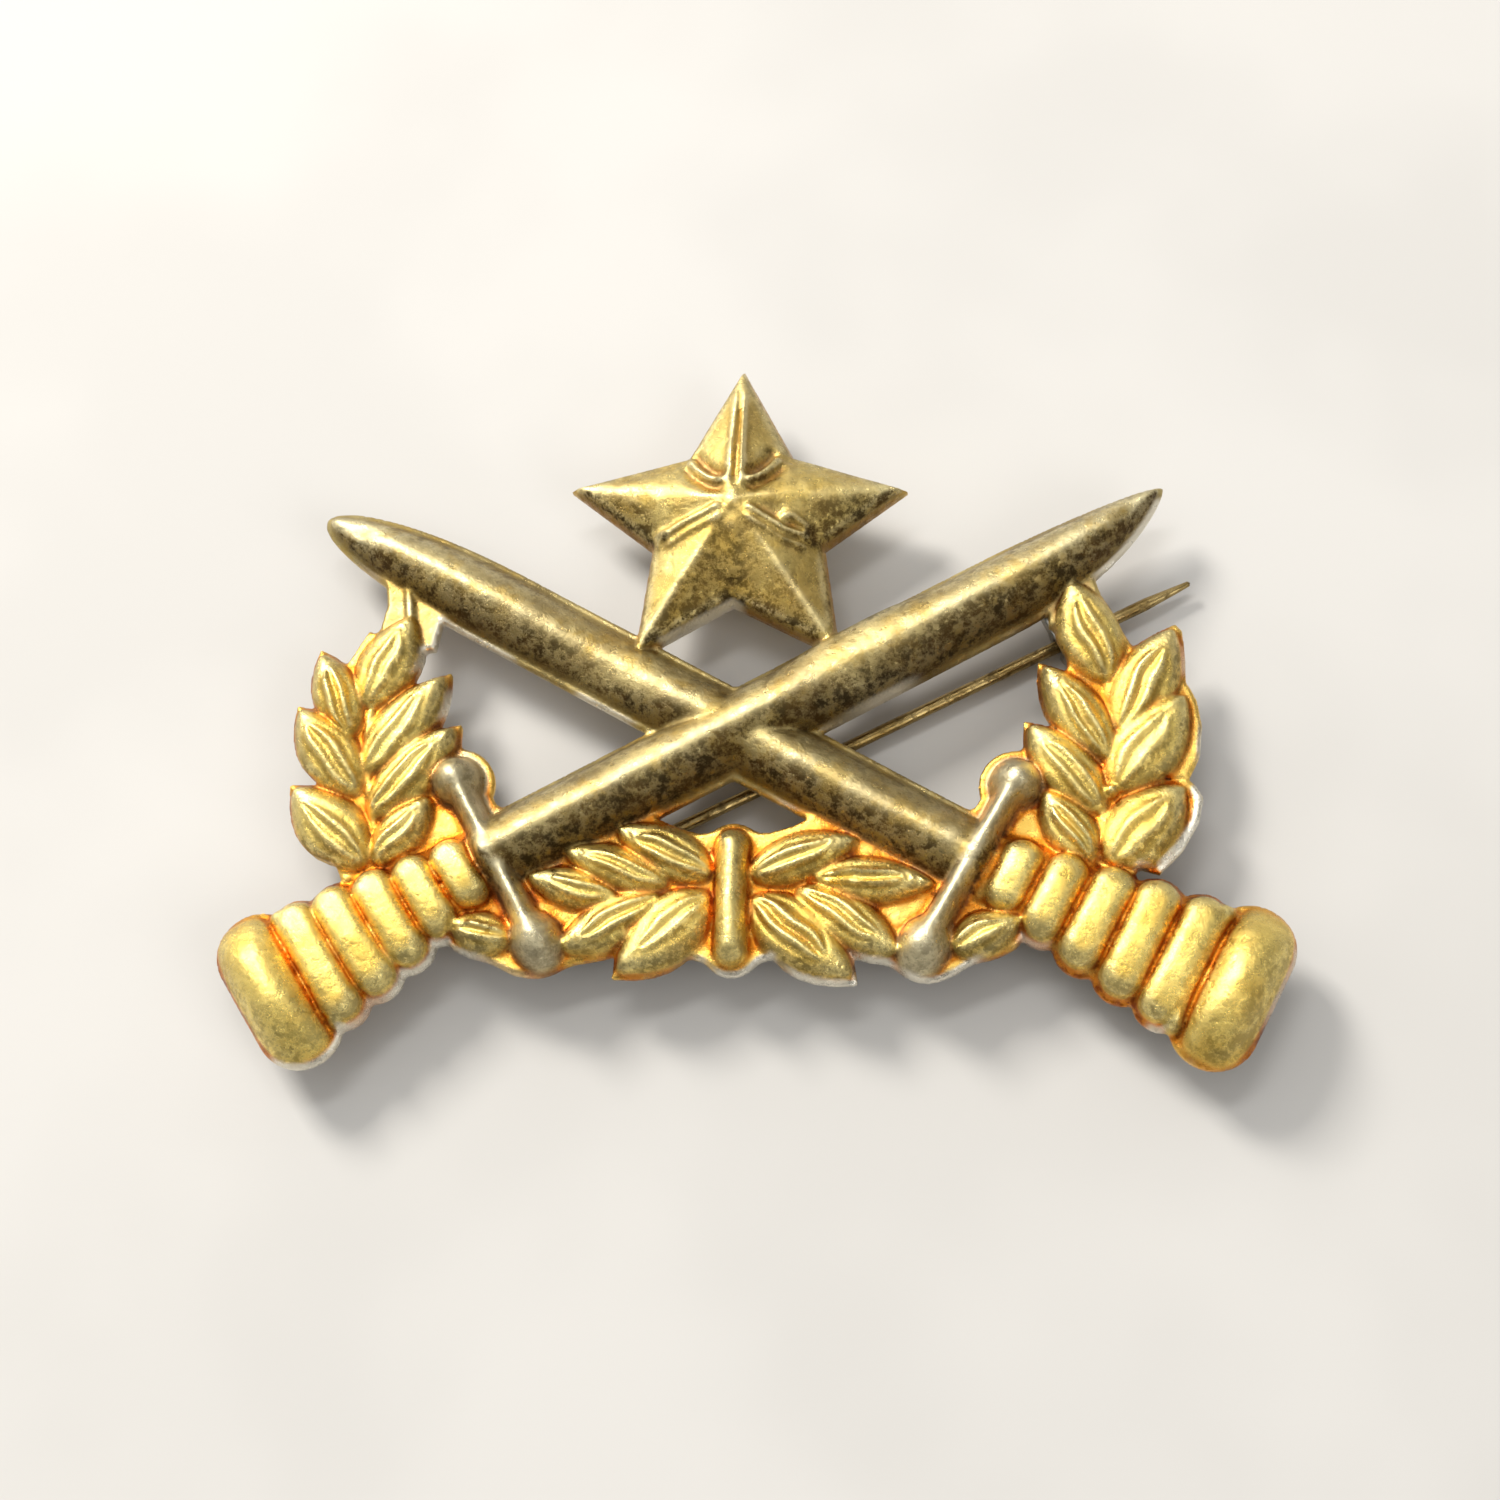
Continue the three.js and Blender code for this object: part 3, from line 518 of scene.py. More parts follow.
def band(stations):
    """The outline of a band along stations of x, y and half width."""
    stations = np.array(stations, float)
    t = np.linspace(0, len(stations) - 1, 17)
    fine = np.stack([np.interp(t, range(len(stations)), stations[:, k]) for k in range(3)], 1)
    tangent = np.gradient(fine[:, :2], axis=0)
    tangent /= np.linalg.norm(tangent, axis=1)[:, None]
    side = np.stack([-tangent[:, 1], tangent[:, 0]], 1) * fine[:, 2:]
    return np.concatenate([fine[:, :2] + side, (fine[:, :2] - side)[::-1]])


def mirrored(points):
    return [(-p[0], *p[1:]) for p in points]


def add_webs():
    whole = GARLAND_WEB + mirrored(GARLAND_WEB[1:-1])[::-1]
    sheets = [(band(STEM), 0), (band(mirrored(STEM)), 0), (whole, 0), (RIGHT_TAB, 0.8),
              (LEFT_TAB, 0.8), (RIGHT_SHOULDER, 0), (mirrored(RIGHT_SHOULDER), 0)]
    for points, silvered in sheets:
        patch = Patch(points, 1.5)
        edge = patch.polygon(points)
        height = RIM + 0.25 - 0.5 * np.clip(edge, 0, 9)
        patch.add(edge, height, silvered=silvered, fillet=0.22)
    for points in (RIGHT_FLANGE, LOWER_FLANGE):
        patch = Patch(points, 1.5)
        edge = patch.polygon(points)
        patch.add(edge, RIM - 0.5 * np.clip(edge, 0, 9), fillet=0.4)
    for sign in (1, -1):
        points = [(sign * x, y) for x, y, _ in STEM[:4]]
        patch = Patch(points, 1.5)
        patch.add(None, raised(patch.path(points), 0.3, 0.7, 1.1), crease=0.2)
    patch = Patch([STEM_BEAD], 1.5)
    away = np.hypot(patch.x - STEM_BEAD[0], patch.y - STEM_BEAD[1])
    patch.add(None, raised(away, 0.45, 0.9, 1.7))
    for stalk in STALKS:
        patch = Patch(stalk, 1.5)
        patch.add(None, raised(patch.path(stalk), 0.34, 0.7, 1.2), silvered=1.0, crease=0.5)


def add_tie():
    patch = Patch([(0, TIE["top"]), (0, TIE["bottom"])], 2.5)
    middle = (0, (TIE["top"] + TIE["bottom"]) / 2)
    half = (TIE["top"] - TIE["bottom"]) / 2
    away, place = pill(patch, middle, 90, half, TIE["radius"])
    height = raised(away, TIE["radius"] * (1 + 0.06 * place**2), 0.5, TIE["height"] - 0.2 * place**2)
    rim, _ = pill(patch, middle, 90, half + 0.5, TIE["radius"] + 0.6)
    patch.add(rim - TIE["radius"] - 0.6, height, fillet=0.4)


def fill_fields():
    add_webs()
    for leaf in GARLAND + LEFT_WREATH + RIGHT_WREATH:
        add_leaf(leaf)
    add_star()
    add_tie()
    add_blades()
    for sword in (BACK_SWORD, FRONT_SWORD):
        add_handle(sword)
        add_guard(sword)


fill_fields()

# Everything stands on the rim; the strike is soft and the metal is not quite even.
dents = 0.020 * noise(3.0) + 0.012 * noise(1.1) + 0.006 * noise(0.45)
above = smooth_step(0.6, 1.6, relief)
relief = smooth_max(relief, np.full(X.shape, RIM), 0.2)
relief += dents * (0.6 + 0.5 * above)
patch = Patch(LOWER_CREASE, 1.5)
relief[patch.at] -= 0.3 * np.exp(-((patch.path(LOWER_CREASE) / 0.3) ** 2))
inside_relief = np.where(outline < 0.3, relief, RIM)
relief = blur(inside_relief, 0.085)
depth = np.clip(-outline, 0, None)
rounding = 0.24
lip = np.clip(rounding - depth, 0, rounding)
relief -= rounding - np.sqrt(rounding**2 - lip**2)

flat = blur(np.where(outline < 0, inside_relief, RIM), 0.36)
fine = blur(np.where(outline < 0, inside_relief, RIM), 0.13)
cavity = np.clip((flat - fine) / 0.26, -1, 1)
low_lying = smooth_step(1.25, 0.75, inside_relief)
# Steepness, and painted shade: slopes that face down and right, away from the key light, are marked here
# for darker colour in the front's material.
slope_x, slope_y = np.gradient(blur(inside_relief, 0.2), CELL)
slope_and_shade = 0.4 * smooth_step(0.4, 1.6, np.hypot(slope_x, slope_y))
slope_and_shade += 0.6 * smooth_step(0.08, 0.55, slope_y - 0.3 * slope_x)
slope_x, slope_y = np.gradient(blur(outline, 0.4), CELL)
looks_down = 0.45 * slope_x - 0.85 * slope_y  # rims that look down and right are rubbed bare
bare = smooth_step(-0.32, -0.14, outline) * smooth_step(0.3, 0.6, looks_down)
bare *= smooth_step(-0.3, 0.4, noise(6.0))
patch = Patch(LOWER_LIP, 1.5)
bare[patch.at] = np.maximum(bare[patch.at], smooth_step(0.4, 0.2, patch.path(LOWER_LIP)))


def hollow_back():
    """The height of the back: the front's relief less the sheet's thickness."""
    under = relief.copy()
    reach = int(SHEET / CELL)
    padded = np.pad(relief, reach, constant_values=RIM)
    for i in range(-reach, reach + 1):
        for j in range(-reach, reach + 1):
            away = CELL * math.hypot(i, j)
            if away < SHEET:
                moved = padded[reach + i:reach + i + X.shape[0], reach + j:reach + j + X.shape[1]]
                under = np.minimum(under, moved - math.sqrt(SHEET**2 - away**2))
    under = blur(np.where(outline > -0.35, 0, np.clip(under - 0.06, 0, None)), 0.16)
    for at, size in [(0, HINGE_PLATE), (CATCH_AT, CATCH_PLATE)]:
        patch = Patch([along(PIN_HINGE, PIN_ANGLE, at)], 6)
        s, t = patch.frame(along(PIN_HINGE, PIN_ANGLE, at), PIN_ANGLE)
        past = [np.clip(np.abs(d) - whole / 2, 0, None) for d, whole in zip((s, t), size)]
        away = np.hypot(*past)
        under[patch.at] *= smooth_step(0.6, 1.2, away)
    return np.clip(np.minimum(under, relief - BACK_SKIN), 0, None)


back = hollow_back()

# ---- The shell of the face --------------------------------------------------------------------------

# Corners of a cell are 0 to 3, anticlockwise, and edge n runs from corner n to the next.
CELL_CASES = {
    1: ["c0 e0 e3"], 2: ["c1 e1 e0"], 3: ["c0 c1 e1 e3"], 4: ["c2 e2 e1"],
    5: ["c0 e0 e3", "c2 e2 e1"], 6: ["c1 c2 e2 e0"], 7: ["c0 c1 c2 e2 e3"], 8: ["c3 e3 e2"],
    9: ["c0 e0 e2 c3"], 10: ["c1 e1 e0", "c3 e3 e2"], 11: ["c0 c1 e1 e2 c3"],
    12: ["c2 c3 e3 e1"], 13: ["c0 e0 e1 c2 c3"], 14: ["c1 c2 c3 e3 e0"], 15: ["c0 c1 c2 c3"],
}


def sample(field, x, y):
    """A field between the grid's points."""
    i = np.clip((x - xs[0]) / CELL, 0, len(xs) - 1.001)
    j = np.clip((y - ys[0]) / CELL, 0, len(ys) - 1.001)
    i0, j0 = i.astype(int), j.astype(int)
    u, v = i - i0, j - j0
    near = field[i0, j0] * (1 - u) + field[i0 + 1, j0] * u
    far = field[i0, j0 + 1] * (1 - u) + field[i0 + 1, j0 + 1] * u
    return near * (1 - v) + far * v


def march():
    """The inside of the outline as triangles, and its directed boundary edges."""
    inside = outline < 0
    nodes = np.full(X.shape, -1)
    nodes[inside] = np.arange(inside.sum())
    count = int(inside.sum())
    px, py = [X[inside]], [Y[inside]]
    crossings = []
    for axis in (0, 1):
        a = [slice(None), slice(None)]
        b = [slice(None), slice(None)]
        a[axis], b[axis] = slice(None, -1), slice(1, None)
        a, b = tuple(a), tuple(b)
        crossed = inside[a] != inside[b]
        t = outline[a][crossed] / (outline[a][crossed] - outline[b][crossed])
        t = np.clip(t, 0.15, 0.85)
        px.append(X[a][crossed] + (X[b] - X[a])[crossed] * t)
        py.append(Y[a][crossed] + (Y[b] - Y[a])[crossed] * t)
        ids = np.full(crossed.shape, -1)
        ids[crossed] = count + np.arange(crossed.sum())
        count += int(crossed.sum())
        crossings.append(ids)
    corner = [nodes[:-1, :-1], nodes[1:, :-1], nodes[1:, 1:], nodes[:-1, 1:]]
    edge = [crossings[0][:, :-1], crossings[1][1:, :], crossings[0][:, 1:], crossings[1][:-1, :]]
    code = sum((corner[k] >= 0) * 2**k for k in range(4))
    triangles, rim_edges = [], []
    x, y = np.concatenate(px), np.concatenate(py)
    z = sample(relief, x, y)
    for case, polygons in CELL_CASES.items():
        cells = code == case
        if not cells.any():
            continue
        for polygon in polygons:
            names = polygon.split()
            ids = [(corner if n[0] == "c" else edge)[int(n[1])][cells] for n in names]
            if case == 15:
                flip = np.abs(z[ids[0]] - z[ids[2]]) > np.abs(z[ids[1]] - z[ids[3]])
                halves = [(~flip, (0, 1, 2)), (~flip, (0, 2, 3)), (flip, (1, 2, 3)), (flip, (1, 3, 0))]
                for keep, order in halves:
                    triangles.append(np.stack([ids[k][keep] for k in order], 1))
                continue
            for k in range(1, len(ids) - 1):
                triangles.append(np.stack([ids[0], ids[k], ids[k + 1]], 1))
            for k, name in enumerate(names):
                after = (k + 1) % len(names)
                if name[0] == "e" and names[after][0] == "e":
                    rim_edges.append(np.stack([ids[k], ids[after]], 1))
    return x, y, z, np.concatenate(triangles), np.concatenate(rim_edges)


def back_surface(x, y, rim_edges):
    """Triangles of the back: the rim's own points and a wider grid inside, anticlockwise from above."""
    rim = np.unique(rim_edges)
    gx, gy = np.meshgrid(np.arange(xs[0], xs[-1], BACK_SPACING),
                         np.arange(ys[0], ys[-1], BACK_SPACING))
    gx, gy = gx.ravel() + 0.013, gy.ravel() + 0.017
    keep = sample(outline, gx, gy) < -0.16
    gx, gy = gx[keep], gy[keep]
    place = {int(v): k for k, v in enumerate(rim)}
    points = [Vector(p) for p in zip(np.r_[x[rim], gx], np.r_[y[rim], gy])]
    edges = [(place[int(a)], place[int(b)]) for a, b in rim_edges]
    _, _, faces, origin, _, _ = delaunay_2d_cdt(points, edges, [], 0, 1e-6)
    to_input = [o[0] if o else -1 for o in origin]
    faces = [tuple(to_input[v] for v in face) for face in faces]
    return rim, gx, gy, inside_faces(faces, set(edges))


def inside_faces(faces, rim_edges):
    """The triangles left of the directed rim edges, and all that join them without crossing one."""
    owner = {}
    for k, face in enumerate(faces):
        for a, b in zip(face, face[1:] + face[:1]):
            owner[a, b] = k
    waiting = [owner[edge] for edge in rim_edges if edge in owner]
    found = set(waiting)
    while waiting:
        face = faces[waiting.pop()]
        for a, b in zip(face, face[1:] + face[:1]):
            beyond = owner.get((b, a))
            if beyond is not None and beyond not in found and (a, b) not in rim_edges:
                found.add(beyond)
                waiting.append(beyond)
    return [faces[k] for k in sorted(found)]


def smooth_by_angle(mesh, degrees):
    mesh.polygons.foreach_set("use_smooth", [True] * len(mesh.polygons))
    mesh.set_sharp_from_angle(angle=math.radians(degrees))


def new_piece(name, vertices, faces):
    """A mesh object from points in the face's millimetres."""
    mesh = bpy.data.meshes.new(name)
    mesh.from_pydata([tuple(v) for v in (np.asarray(vertices) + SHIFT) * MM], [], faces)
    mesh.validate()
    obj = bpy.data.objects.new(name, mesh)
    bpy.context.scene.collection.objects.link(obj)
    return obj


def build_face():
    x, y, z, triangles, rim_edges = march()
    rim, gx, gy, back_faces = back_surface(x, y, rim_edges)
    front_count = len(x)
    lower = {int(v): front_count + k for k, v in enumerate(rim)}
    inner_start = front_count + len(rim)
    vertices = np.concatenate([
        np.stack([x, y, z], 1),
        np.stack([x[rim], y[rim], np.zeros(len(rim))], 1),
        np.stack([gx, gy, sample(back, gx, gy)], 1),
    ])
    front = triangles.tolist()
    walls = [[b, a, lower[int(a)], lower[int(b)]] for a, b in rim_edges.tolist()]
    behind = [[front_count + v for v in reversed(face)] for face in back_faces]
    obj = new_piece("struck_face_shell", vertices, front + walls + behind)
    mesh = obj.data
    fields = {"cavity": cavity, "silver": blur(silver, 0.12), "bare": bare, "low": low_lying,
              "slope_and_shade": slope_and_shade, "polish": blur(polish, 0.12)}
    for name, field in fields.items():
        values = np.zeros(len(vertices))
        values[:front_count] = sample(field, x, y)
        values[front_count:inner_start] = values[rim]
        attribute = mesh.attributes.new(name, "FLOAT", "POINT")
        attribute.data.foreach_set("value", values.astype(np.float32))
    slots = np.zeros(len(mesh.polygons), np.int32)
    slots[len(front) + len(walls):] = 1
    mesh.polygons.foreach_set("material_index", slots)
    smooth_by_angle(mesh, 62)
    return obj


# ---- Materials --------------------------------------------------------------------------------------


class Nodes:
    """A short way to write a node material whose patterns are sized in millimetres."""

    def __init__(self, name):
        self.material = bpy.data.materials.new(name)
        self.material.use_nodes = True
        self.tree = self.material.node_tree
        self.shader = self.tree.nodes["Principled BSDF"]
        self.place = self.tree.nodes.new("ShaderNodeTexCoord").outputs["Object"]

    def new(self, kind, inputs=(), **settings):
        made = self.tree.nodes.new(kind)
        for key, value in settings.items():
            setattr(made, key, value)
        for key, value in dict(inputs).items():
            self.feed(made.inputs[key], value)
        return made

    def feed(self, socket, value):
        if isinstance(value, bpy.types.NodeSocket):
            self.tree.links.new(value, socket)
        else:
            socket.default_value = value

    def field(self, name):
        return self.new("ShaderNodeAttribute", attribute_name=name).outputs["Fac"]

    def stretched(self, scale, turn=0.0):
        inputs = {"Vector": self.place, "Rotation": (0, 0, math.radians(turn)), "Scale": scale}
        made = self.new("ShaderNodeMapping", inputs, vector_type="TEXTURE")
        return made.outputs["Vector"]

    def noise(self, size, detail=5.0, rough=0.55, low=0.0, high=1.0, vector=None):
        """Noise with features of that size in mm, spread from 0 to 1 between low and high."""
        made = self.new("ShaderNodeTexNoise", {
            "Vector": vector or self.place, "Scale": 1 / (size * MM),
            "Detail": detail, "Roughness": rough})
        return self.ramp(made.outputs["Fac"], low, high)

    def ramp(self, value, low, high, to_low=0.0, to_high=1.0):
        made = self.new("ShaderNodeMapRange", {
            "Value": value, "From Min": low, "From Max": high, "To Min": to_low, "To Max": to_high},
            interpolation_type="SMOOTHSTEP")
        return made.outputs["Result"]

    def math(self, operation, a, b=0.0, clamp=False):
        made = self.new("ShaderNodeMath", {0: a, 1: b}, operation=operation)
        made.use_clamp = clamp
        return made.outputs[0]

    def mix(self, share, a, b):
        made = self.new("ShaderNodeMix", data_type="RGBA")
        made.clamp_factor = True
        self.feed(made.inputs["Factor"], share)
        self.feed(made.inputs["A"], a if isinstance(a, bpy.types.NodeSocket) else (*a, 1.0))
        self.feed(made.inputs["B"], b if isinstance(b, bpy.types.NodeSocket) else (*b, 1.0))
        return made.outputs["Result"]

    def bump(self, height, strength, distance, normal=None):
        inputs = {"Height": height, "Strength": strength, "Distance": distance * MM}
        if normal is not None:
            inputs["Normal"] = normal
        return self.new("ShaderNodeBump", inputs).outputs["Normal"]


def linear(code):
    """A colour from its hexadecimal code to linear values."""
    parts = [int(code[k:k + 2], 16) / 255 for k in (0, 2, 4)]
    return tuple(c / 12.92 if c < 0.04045 else ((c + 0.055) / 1.055) ** 2.4 for c in parts)


GILT = dict(light="F2D678", dark="E2BE5C", low="EDBA56", rubbed="F2E098", lacquer="CC7C22", rust="8A3E0E")
# The last silvered colour is painted shade for slopes that face away from the light.
SILVERED = dict(light="C6B47C", dark="A4905E", rubbed="E8DCB0", gold="BC9A42", polished="DDD2AE",
                painted_shade="705C30")
# Colours of the dark tarnish flecks, which also carry painted shade on slopes facing away from the light.
TARNISH_AND_SHADE = dict(brown="4A3416", black="2C2010")
BARE = "E9E2D0"


def struck_front():
    n = Nodes("worn_gilt_with_painted_shade")
    cavity_, silver_, bare_ = n.field("cavity"), n.field("silver"), n.field("bare")
    low_, slope_and_shade_, polish_ = n.field("low"), n.field("slope_and_shade"), n.field("polish")
    cloud = n.noise(5.0, 4, 0.6, 0.38, 0.62)
    mottle = n.noise(0.8, 12, 0.78, 0.44, 0.57)
    speck = n.noise(0.45, 8, 0.75, 0.54, 0.62)
    # gilt: yellow gold, paler where it is rubbed, orange lacquer in the creases
    gilt = n.mix(cloud, linear(GILT["light"]), linear(GILT["dark"]))
    gilt = n.mix(n.math("MULTIPLY", low_, 0.6), gilt, linear(GILT["low"]))
    crease = n.ramp(cavity_, 0.1, 0.6)
    broken = n.noise(1.7, 5, 0.6, 0.2, 0.5)
    gilt = n.mix(n.math("MULTIPLY", crease, broken), gilt, linear(GILT["lacquer"]))
    rust = n.math("MULTIPLY", n.ramp(cavity_, 0.4, 0.9), n.noise(0.8, 6, 0.6, 0.48, 0.6))
    gilt = n.mix(rust, gilt, linear(GILT["rust"]))
    gilt = n.mix(n.ramp(cavity_, -0.1, -0.6, 0.0, 0.75), gilt, linear(GILT["rubbed"]))
    # silvered parts: champagne, with the gold showing through in clouds
    pale = n.mix(cloud, linear(SILVERED["light"]), linear(SILVERED["dark"]))
    pale = n.mix(n.ramp(cavity_, -0.05, -0.4, 0.0, 0.8), pale, linear(SILVERED["rubbed"]))
    gold_clouds = n.math("MULTIPLY", n.noise(3.0, 8, 0.72, 0.48, 0.62), 0.5)
    pale = n.mix(gold_clouds, pale, linear(SILVERED["gold"]))
    pale = n.mix(n.math("MULTIPLY", polish_, 0.8), pale, linear(SILVERED["polished"]))
    colour = n.mix(silver_, gilt, pale)
    # painted shade: a smooth brown darkening on the steep silvered slopes, most on those that face down
    # and right, away from the light; less where polished
    unpolished = n.ramp(polish_, 0.0, 1.0, 0.75, 0.2)
    painted_shade = n.math("MULTIPLY", n.math("MULTIPLY", slope_and_shade_, silver_), unpolished)
    colour = n.mix(painted_shade, colour, linear(SILVERED["painted_shade"]))
    # dark tarnish in flecks, partly painted shade: much more on steep slopes and on slopes that face down
    # and right, away from the light; less on low flat parts, on the gilt and where polished
    room = n.math("ADD", n.math("MULTIPLY", slope_and_shade_, 1.1), 0.14, True)
    room = n.math("MULTIPLY", room, n.ramp(low_, 1.0, 0.2, 0.3, 1.0))
    room = n.math("MULTIPLY", room, n.ramp(silver_, 0.0, 0.5, 0.5, 1.0))
    room = n.math("MULTIPLY", room, n.ramp(polish_, 0.0, 1.0, 1.0, 0.45))
    tarnish_and_shade = n.math("MULTIPLY", mottle, room)
    tarnish_and_shade = n.math("MAXIMUM", tarnish_and_shade, n.math("MULTIPLY", speck, n.math("MULTIPLY", room, 0.9)))
    shade = n.mix(n.noise(2.0, 3, 0.5, 0.4, 0.6), linear(TARNISH_AND_SHADE["brown"]), linear(TARNISH_AND_SHADE["black"]))
    colour = n.mix(n.math("MULTIPLY", tarnish_and_shade, 0.9), colour, shade)
    colour = n.mix(bare_, colour, linear(BARE))
    n.feed(n.shader.inputs["Base Color"], colour)
    n.shader.inputs["Metallic"].default_value = 1.0
    gloss = n.math("ADD", n.noise(0.7, 8, 0.7, 0.3, 0.7), n.math("MULTIPLY", tarnish_and_shade, 0.9))
    gloss = n.math("ADD", gloss, n.math("MULTIPLY", silver_, 0.25))
    n.feed(n.shader.inputs["Roughness"], n.ramp(gloss, 0.0, 1.8, 0.2, 0.6))
    normal = n.bump(n.noise(0.22, 5, 0.7), 0.5, 0.05)
    normal = n.bump(n.noise(0.7, 8, 0.65), 0.5, 0.11, normal)
    pits = n.math("MULTIPLY", tarnish_and_shade, -1.0)
    n.feed(n.shader.inputs["Normal"], n.bump(pits, 0.5, 0.07, normal))
    return n.material


def aged_metal(name, light, dark, deep, rough, streaks=None, grain=0.12):
    """Plain metal with a brownish skin, small pits and uneven gloss."""
    n = Nodes(name)
    vector = n.stretched(*streaks) if streaks else None
    cloud = n.noise(2.6, 5, 0.6, 0.35, 0.65)
    stain = n.noise(0.9, 8, 0.7, 0.52, 0.66)
    fine = n.noise(grain, 5, 0.65, 0.3, 0.7, vector)
    colour = n.mix(cloud, linear(light), linear(dark))
    colour = n.mix(n.math("MULTIPLY", fine, 0.25), colour, linear(dark))
    colour = n.mix(n.math("MULTIPLY", stain, 0.7), colour, linear(deep))
    n.feed(n.shader.inputs["Base Color"], colour)
    n.shader.inputs["Metallic"].default_value = 1.0
    gloss = n.math("ADD", n.math("MULTIPLY", fine, 0.5), n.math("MULTIPLY", stain, 0.5))
    n.feed(n.shader.inputs["Roughness"], n.ramp(gloss, 0.0, 1.0, rough - 0.1, rough + 0.2))
    normal = n.bump(fine, 0.3, 0.02)
    n.feed(n.shader.inputs["Normal"], n.bump(stain, 0.3, -0.04, normal))
    return n.material


def floor_material():
    n = Nodes("pale_floor")
    colour = n.mix(n.noise(40, 3, 0.5, 0.4, 0.6), linear("CDCBC7"), linear("C7C5C1"))
    n.feed(n.shader.inputs["Base Color"], colour)
    n.shader.inputs["Roughness"].default_value = 0.75
    n.feed(n.shader.inputs["Normal"], n.bump(n.noise(0.8, 3, 0.5), 0.05, 0.05))
    return n.material


# ---- Pieces -----------------------------------------------------------------------------------------

face = build_face()
face.data.materials.append(struck_front())
face.data.materials.append(aged_metal("struck_back", "B99A55", "8C6E38", "4A361C", 0.42))
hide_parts("struck_face")
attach(face, "face")


def refined(node, body, material, bevel=0.05, angle=34):
    """A CAD piece again with its edges broken and its round faces smooth."""
    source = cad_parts[node].data
    mesh = source.copy()
    mesh.materials.clear()
    mesh.materials.append(material)
    bm = bmesh.new()
    bm.from_mesh(mesh)
    bmesh.ops.remove_doubles(bm, verts=bm.verts, dist=2e-6)
    bmesh.ops.dissolve_limit(bm, angle_limit=math.radians(2), verts=bm.verts, edges=bm.edges)
    bm.to_mesh(mesh)
    bm.free()
    obj = bpy.data.objects.new(node + "_piece", mesh)
    bpy.context.scene.collection.objects.link(obj)
    mod = obj.modifiers.new("edges", "BEVEL")
    mod.width = bevel * MM
    mod.segments = 2
    mod.limit_method = "ANGLE"
    mod.angle_limit = math.radians(angle)
    mod.use_clamp_overlap = True
    graph = bpy.context.evaluated_depsgraph_get()
    made = bpy.data.meshes.new_from_object(obj.evaluated_get(graph))
    obj.modifiers.clear()
    obj.data = made
    smooth_by_angle(made, angle + 4)
    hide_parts(node)
    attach(obj, body)


brass = aged_metal("aged_brass", "C2A463", "96783E", "4B3820", 0.36)
wire = aged_metal("drawn_wire", "AD9765", "806A3E", "45351C", 0.34, ((12, 1, 1), PIN_ANGLE), 0.12)
steel = aged_metal("rivet_steel", "B5AD9C", "8D8473", "4E4436", 0.34)
tin = aged_metal("soft_solder", "9FA09C", "7B7C78", "4C4B45", 0.44, grain=0.25)

refined("hinge_base_plate", "face", brass)
refined("hinge_bracket", "face", brass)
refined("catch_base_plate", "face", brass)
refined("catch_barrel", "face", brass, 0.04)
refined("hinge_rivet", "face", steel, 0.03)
refined("pin_wire", "pin", wire, 0.04)
refined("catch_lock_sleeve", "catch_lock", steel, 0.04)
refined("hinge_solder", "face", tin, 0.08)
refined("catch_solder", "face", tin, 0.08)

# ---- Stage, light and camera ------------------------------------------------------------------------


def build_stage():
    half, cells = 1.6, 8
    mesh = bpy.data.meshes.new("floor")
    steps = np.linspace(-half, half, cells + 1)
    vertices = [(x, y, 0.0) for x in steps for y in steps]
    row = cells + 1
    faces = [(i * row + j, (i + 1) * row + j, (i + 1) * row + j + 1, i * row + j + 1)
             for i in range(cells) for j in range(cells)]
    mesh.from_pydata(vertices, [], faces)
    floor = bpy.data.objects.new("floor", mesh)
    bpy.context.scene.collection.objects.link(floor)
    mesh.materials.append(floor_material())


def area_light(name, place, size, power, colour):
    """A soft lamp that looks at the badge; power is per square metre of lamp."""
    lamp = bpy.data.lights.new(name, "AREA")
    lamp.shape = "RECTANGLE"
    lamp.size, lamp.size_y = size
    lamp.energy = power * size[0] * size[1]
    lamp.color = colour
    obj = bpy.data.objects.new(name, lamp)
    obj.location = place
    obj.rotation_euler = (-Vector(place)).to_track_quat("-Z", "Y").to_euler()
    bpy.context.scene.collection.objects.link(obj)


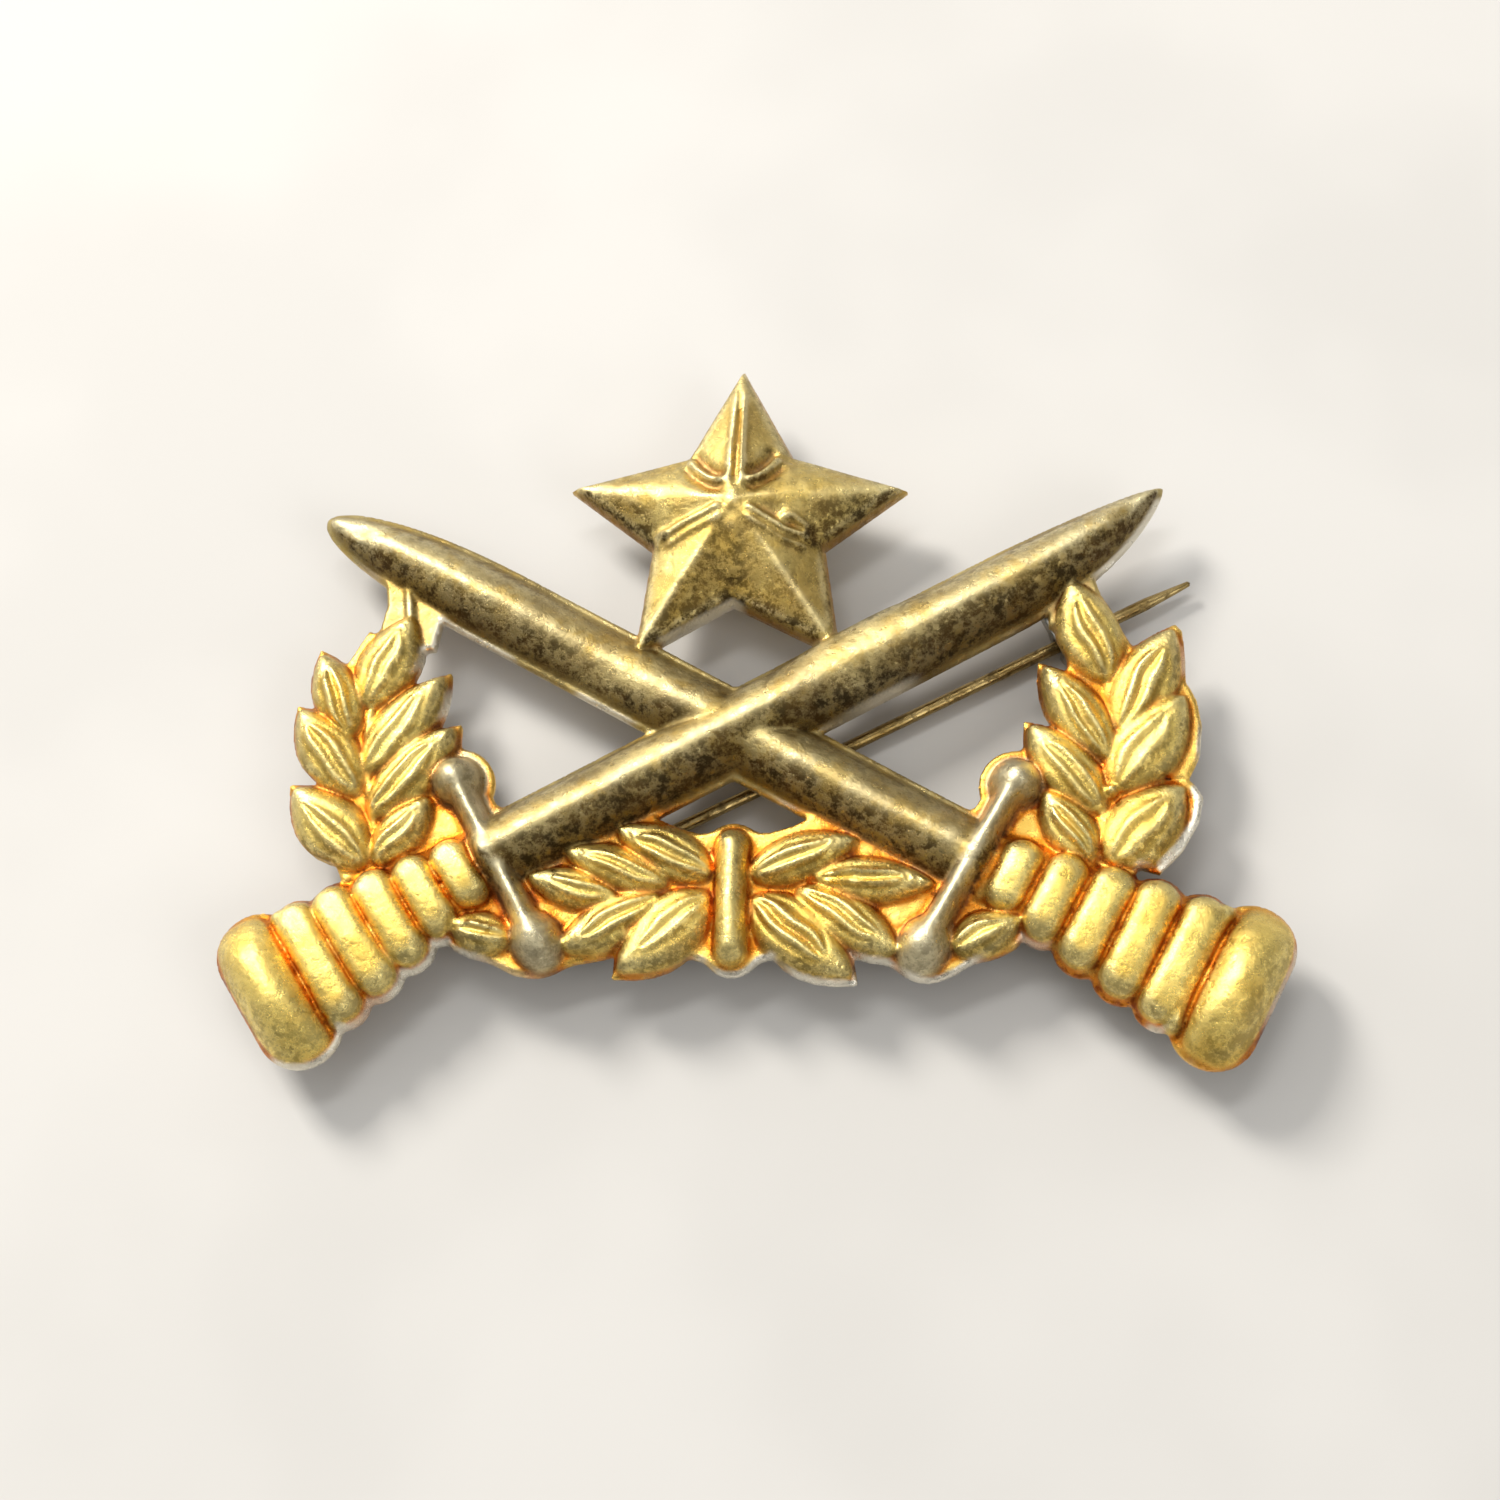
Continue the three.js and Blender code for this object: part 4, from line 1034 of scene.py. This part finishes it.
def build_world():
    """An even studio that is lighter towards the key light and darker behind the fill."""
    world = bpy.data.worlds.new("studio")
    bpy.context.scene.world = world
    world.use_nodes = True
    tree = world.node_tree
    background = tree.nodes["Background"]
    place = tree.nodes.new("ShaderNodeTexCoord")
    towards = tree.nodes.new("ShaderNodeVectorMath")
    towards.operation = "DOT_PRODUCT"
    towards.inputs[1].default_value = Vector((-0.55, 0.6, 0.58)).normalized()
    ramp = tree.nodes.new("ShaderNodeMapRange")
    ramp.interpolation_type = "SMOOTHSTEP"
    tree.links.new(place.outputs["Generated"], towards.inputs[0])
    tree.links.new(towards.outputs["Value"], ramp.inputs["Value"])
    for name, value in [("From Min", -0.45), ("From Max", 1.0), ("To Min", 0.06), ("To Max", 0.85)]:
        ramp.inputs[name].default_value = value
    tree.links.new(ramp.outputs["Result"], background.inputs["Strength"])
    background.inputs["Color"].default_value = (1.0, 0.985, 0.96, 1)


# The photo's viewpoint: degrees, and millimetres from the middle of the face.
VIEW = dict(elevation=70.0, yaw=15.0, roll=14.8)
VIEW_DISTANCE = 155.0
# Each lamp's name, place and size in metres, power per square metre and colour.
LAMPS = [("key", (-0.26, 0.30, 0.34), (0.14, 0.14), 140, (1.0, 0.96, 0.9)),
         ("fill", (0.35, -0.25, 0.35), (0.3, 0.3), 9, (1, 1, 1)),
         ("top", (-0.05, 0.16, 0.5), (0.26, 0.08), 25, (1, 1, 1))]


def build_camera():
    e, a, r = (math.radians(VIEW[key]) for key in ("elevation", "yaw", "roll"))
    backward = Vector((math.sin(a) * math.cos(e), -math.cos(a) * math.cos(e), math.sin(e)))
    right = Vector((math.cos(a), math.sin(a), 0))
    up = backward.cross(right)
    x_axis = math.cos(r) * right - math.sin(r) * up
    y_axis = math.sin(r) * right + math.cos(r) * up
    camera = bpy.data.cameras.new("camera")
    camera.lens = 60
    camera.sensor_width = 36
    camera.shift_x, camera.shift_y = 0.0087, -0.031
    camera.clip_start, camera.clip_end = 0.01, 20
    obj = bpy.data.objects.new("camera", camera)
    turn = Matrix((x_axis, y_axis, backward)).transposed().to_4x4()
    place = Vector(SHIFT * MM) + backward * VIEW_DISTANCE * MM
    obj.matrix_world = Matrix.Translation(place) @ turn
    bpy.context.scene.collection.objects.link(obj)
    bpy.context.scene.camera = obj


build_stage()
build_world()
build_camera()
for lamp in LAMPS:
    area_light(*lamp)
bpy.context.scene.view_settings.view_transform = "Standard"
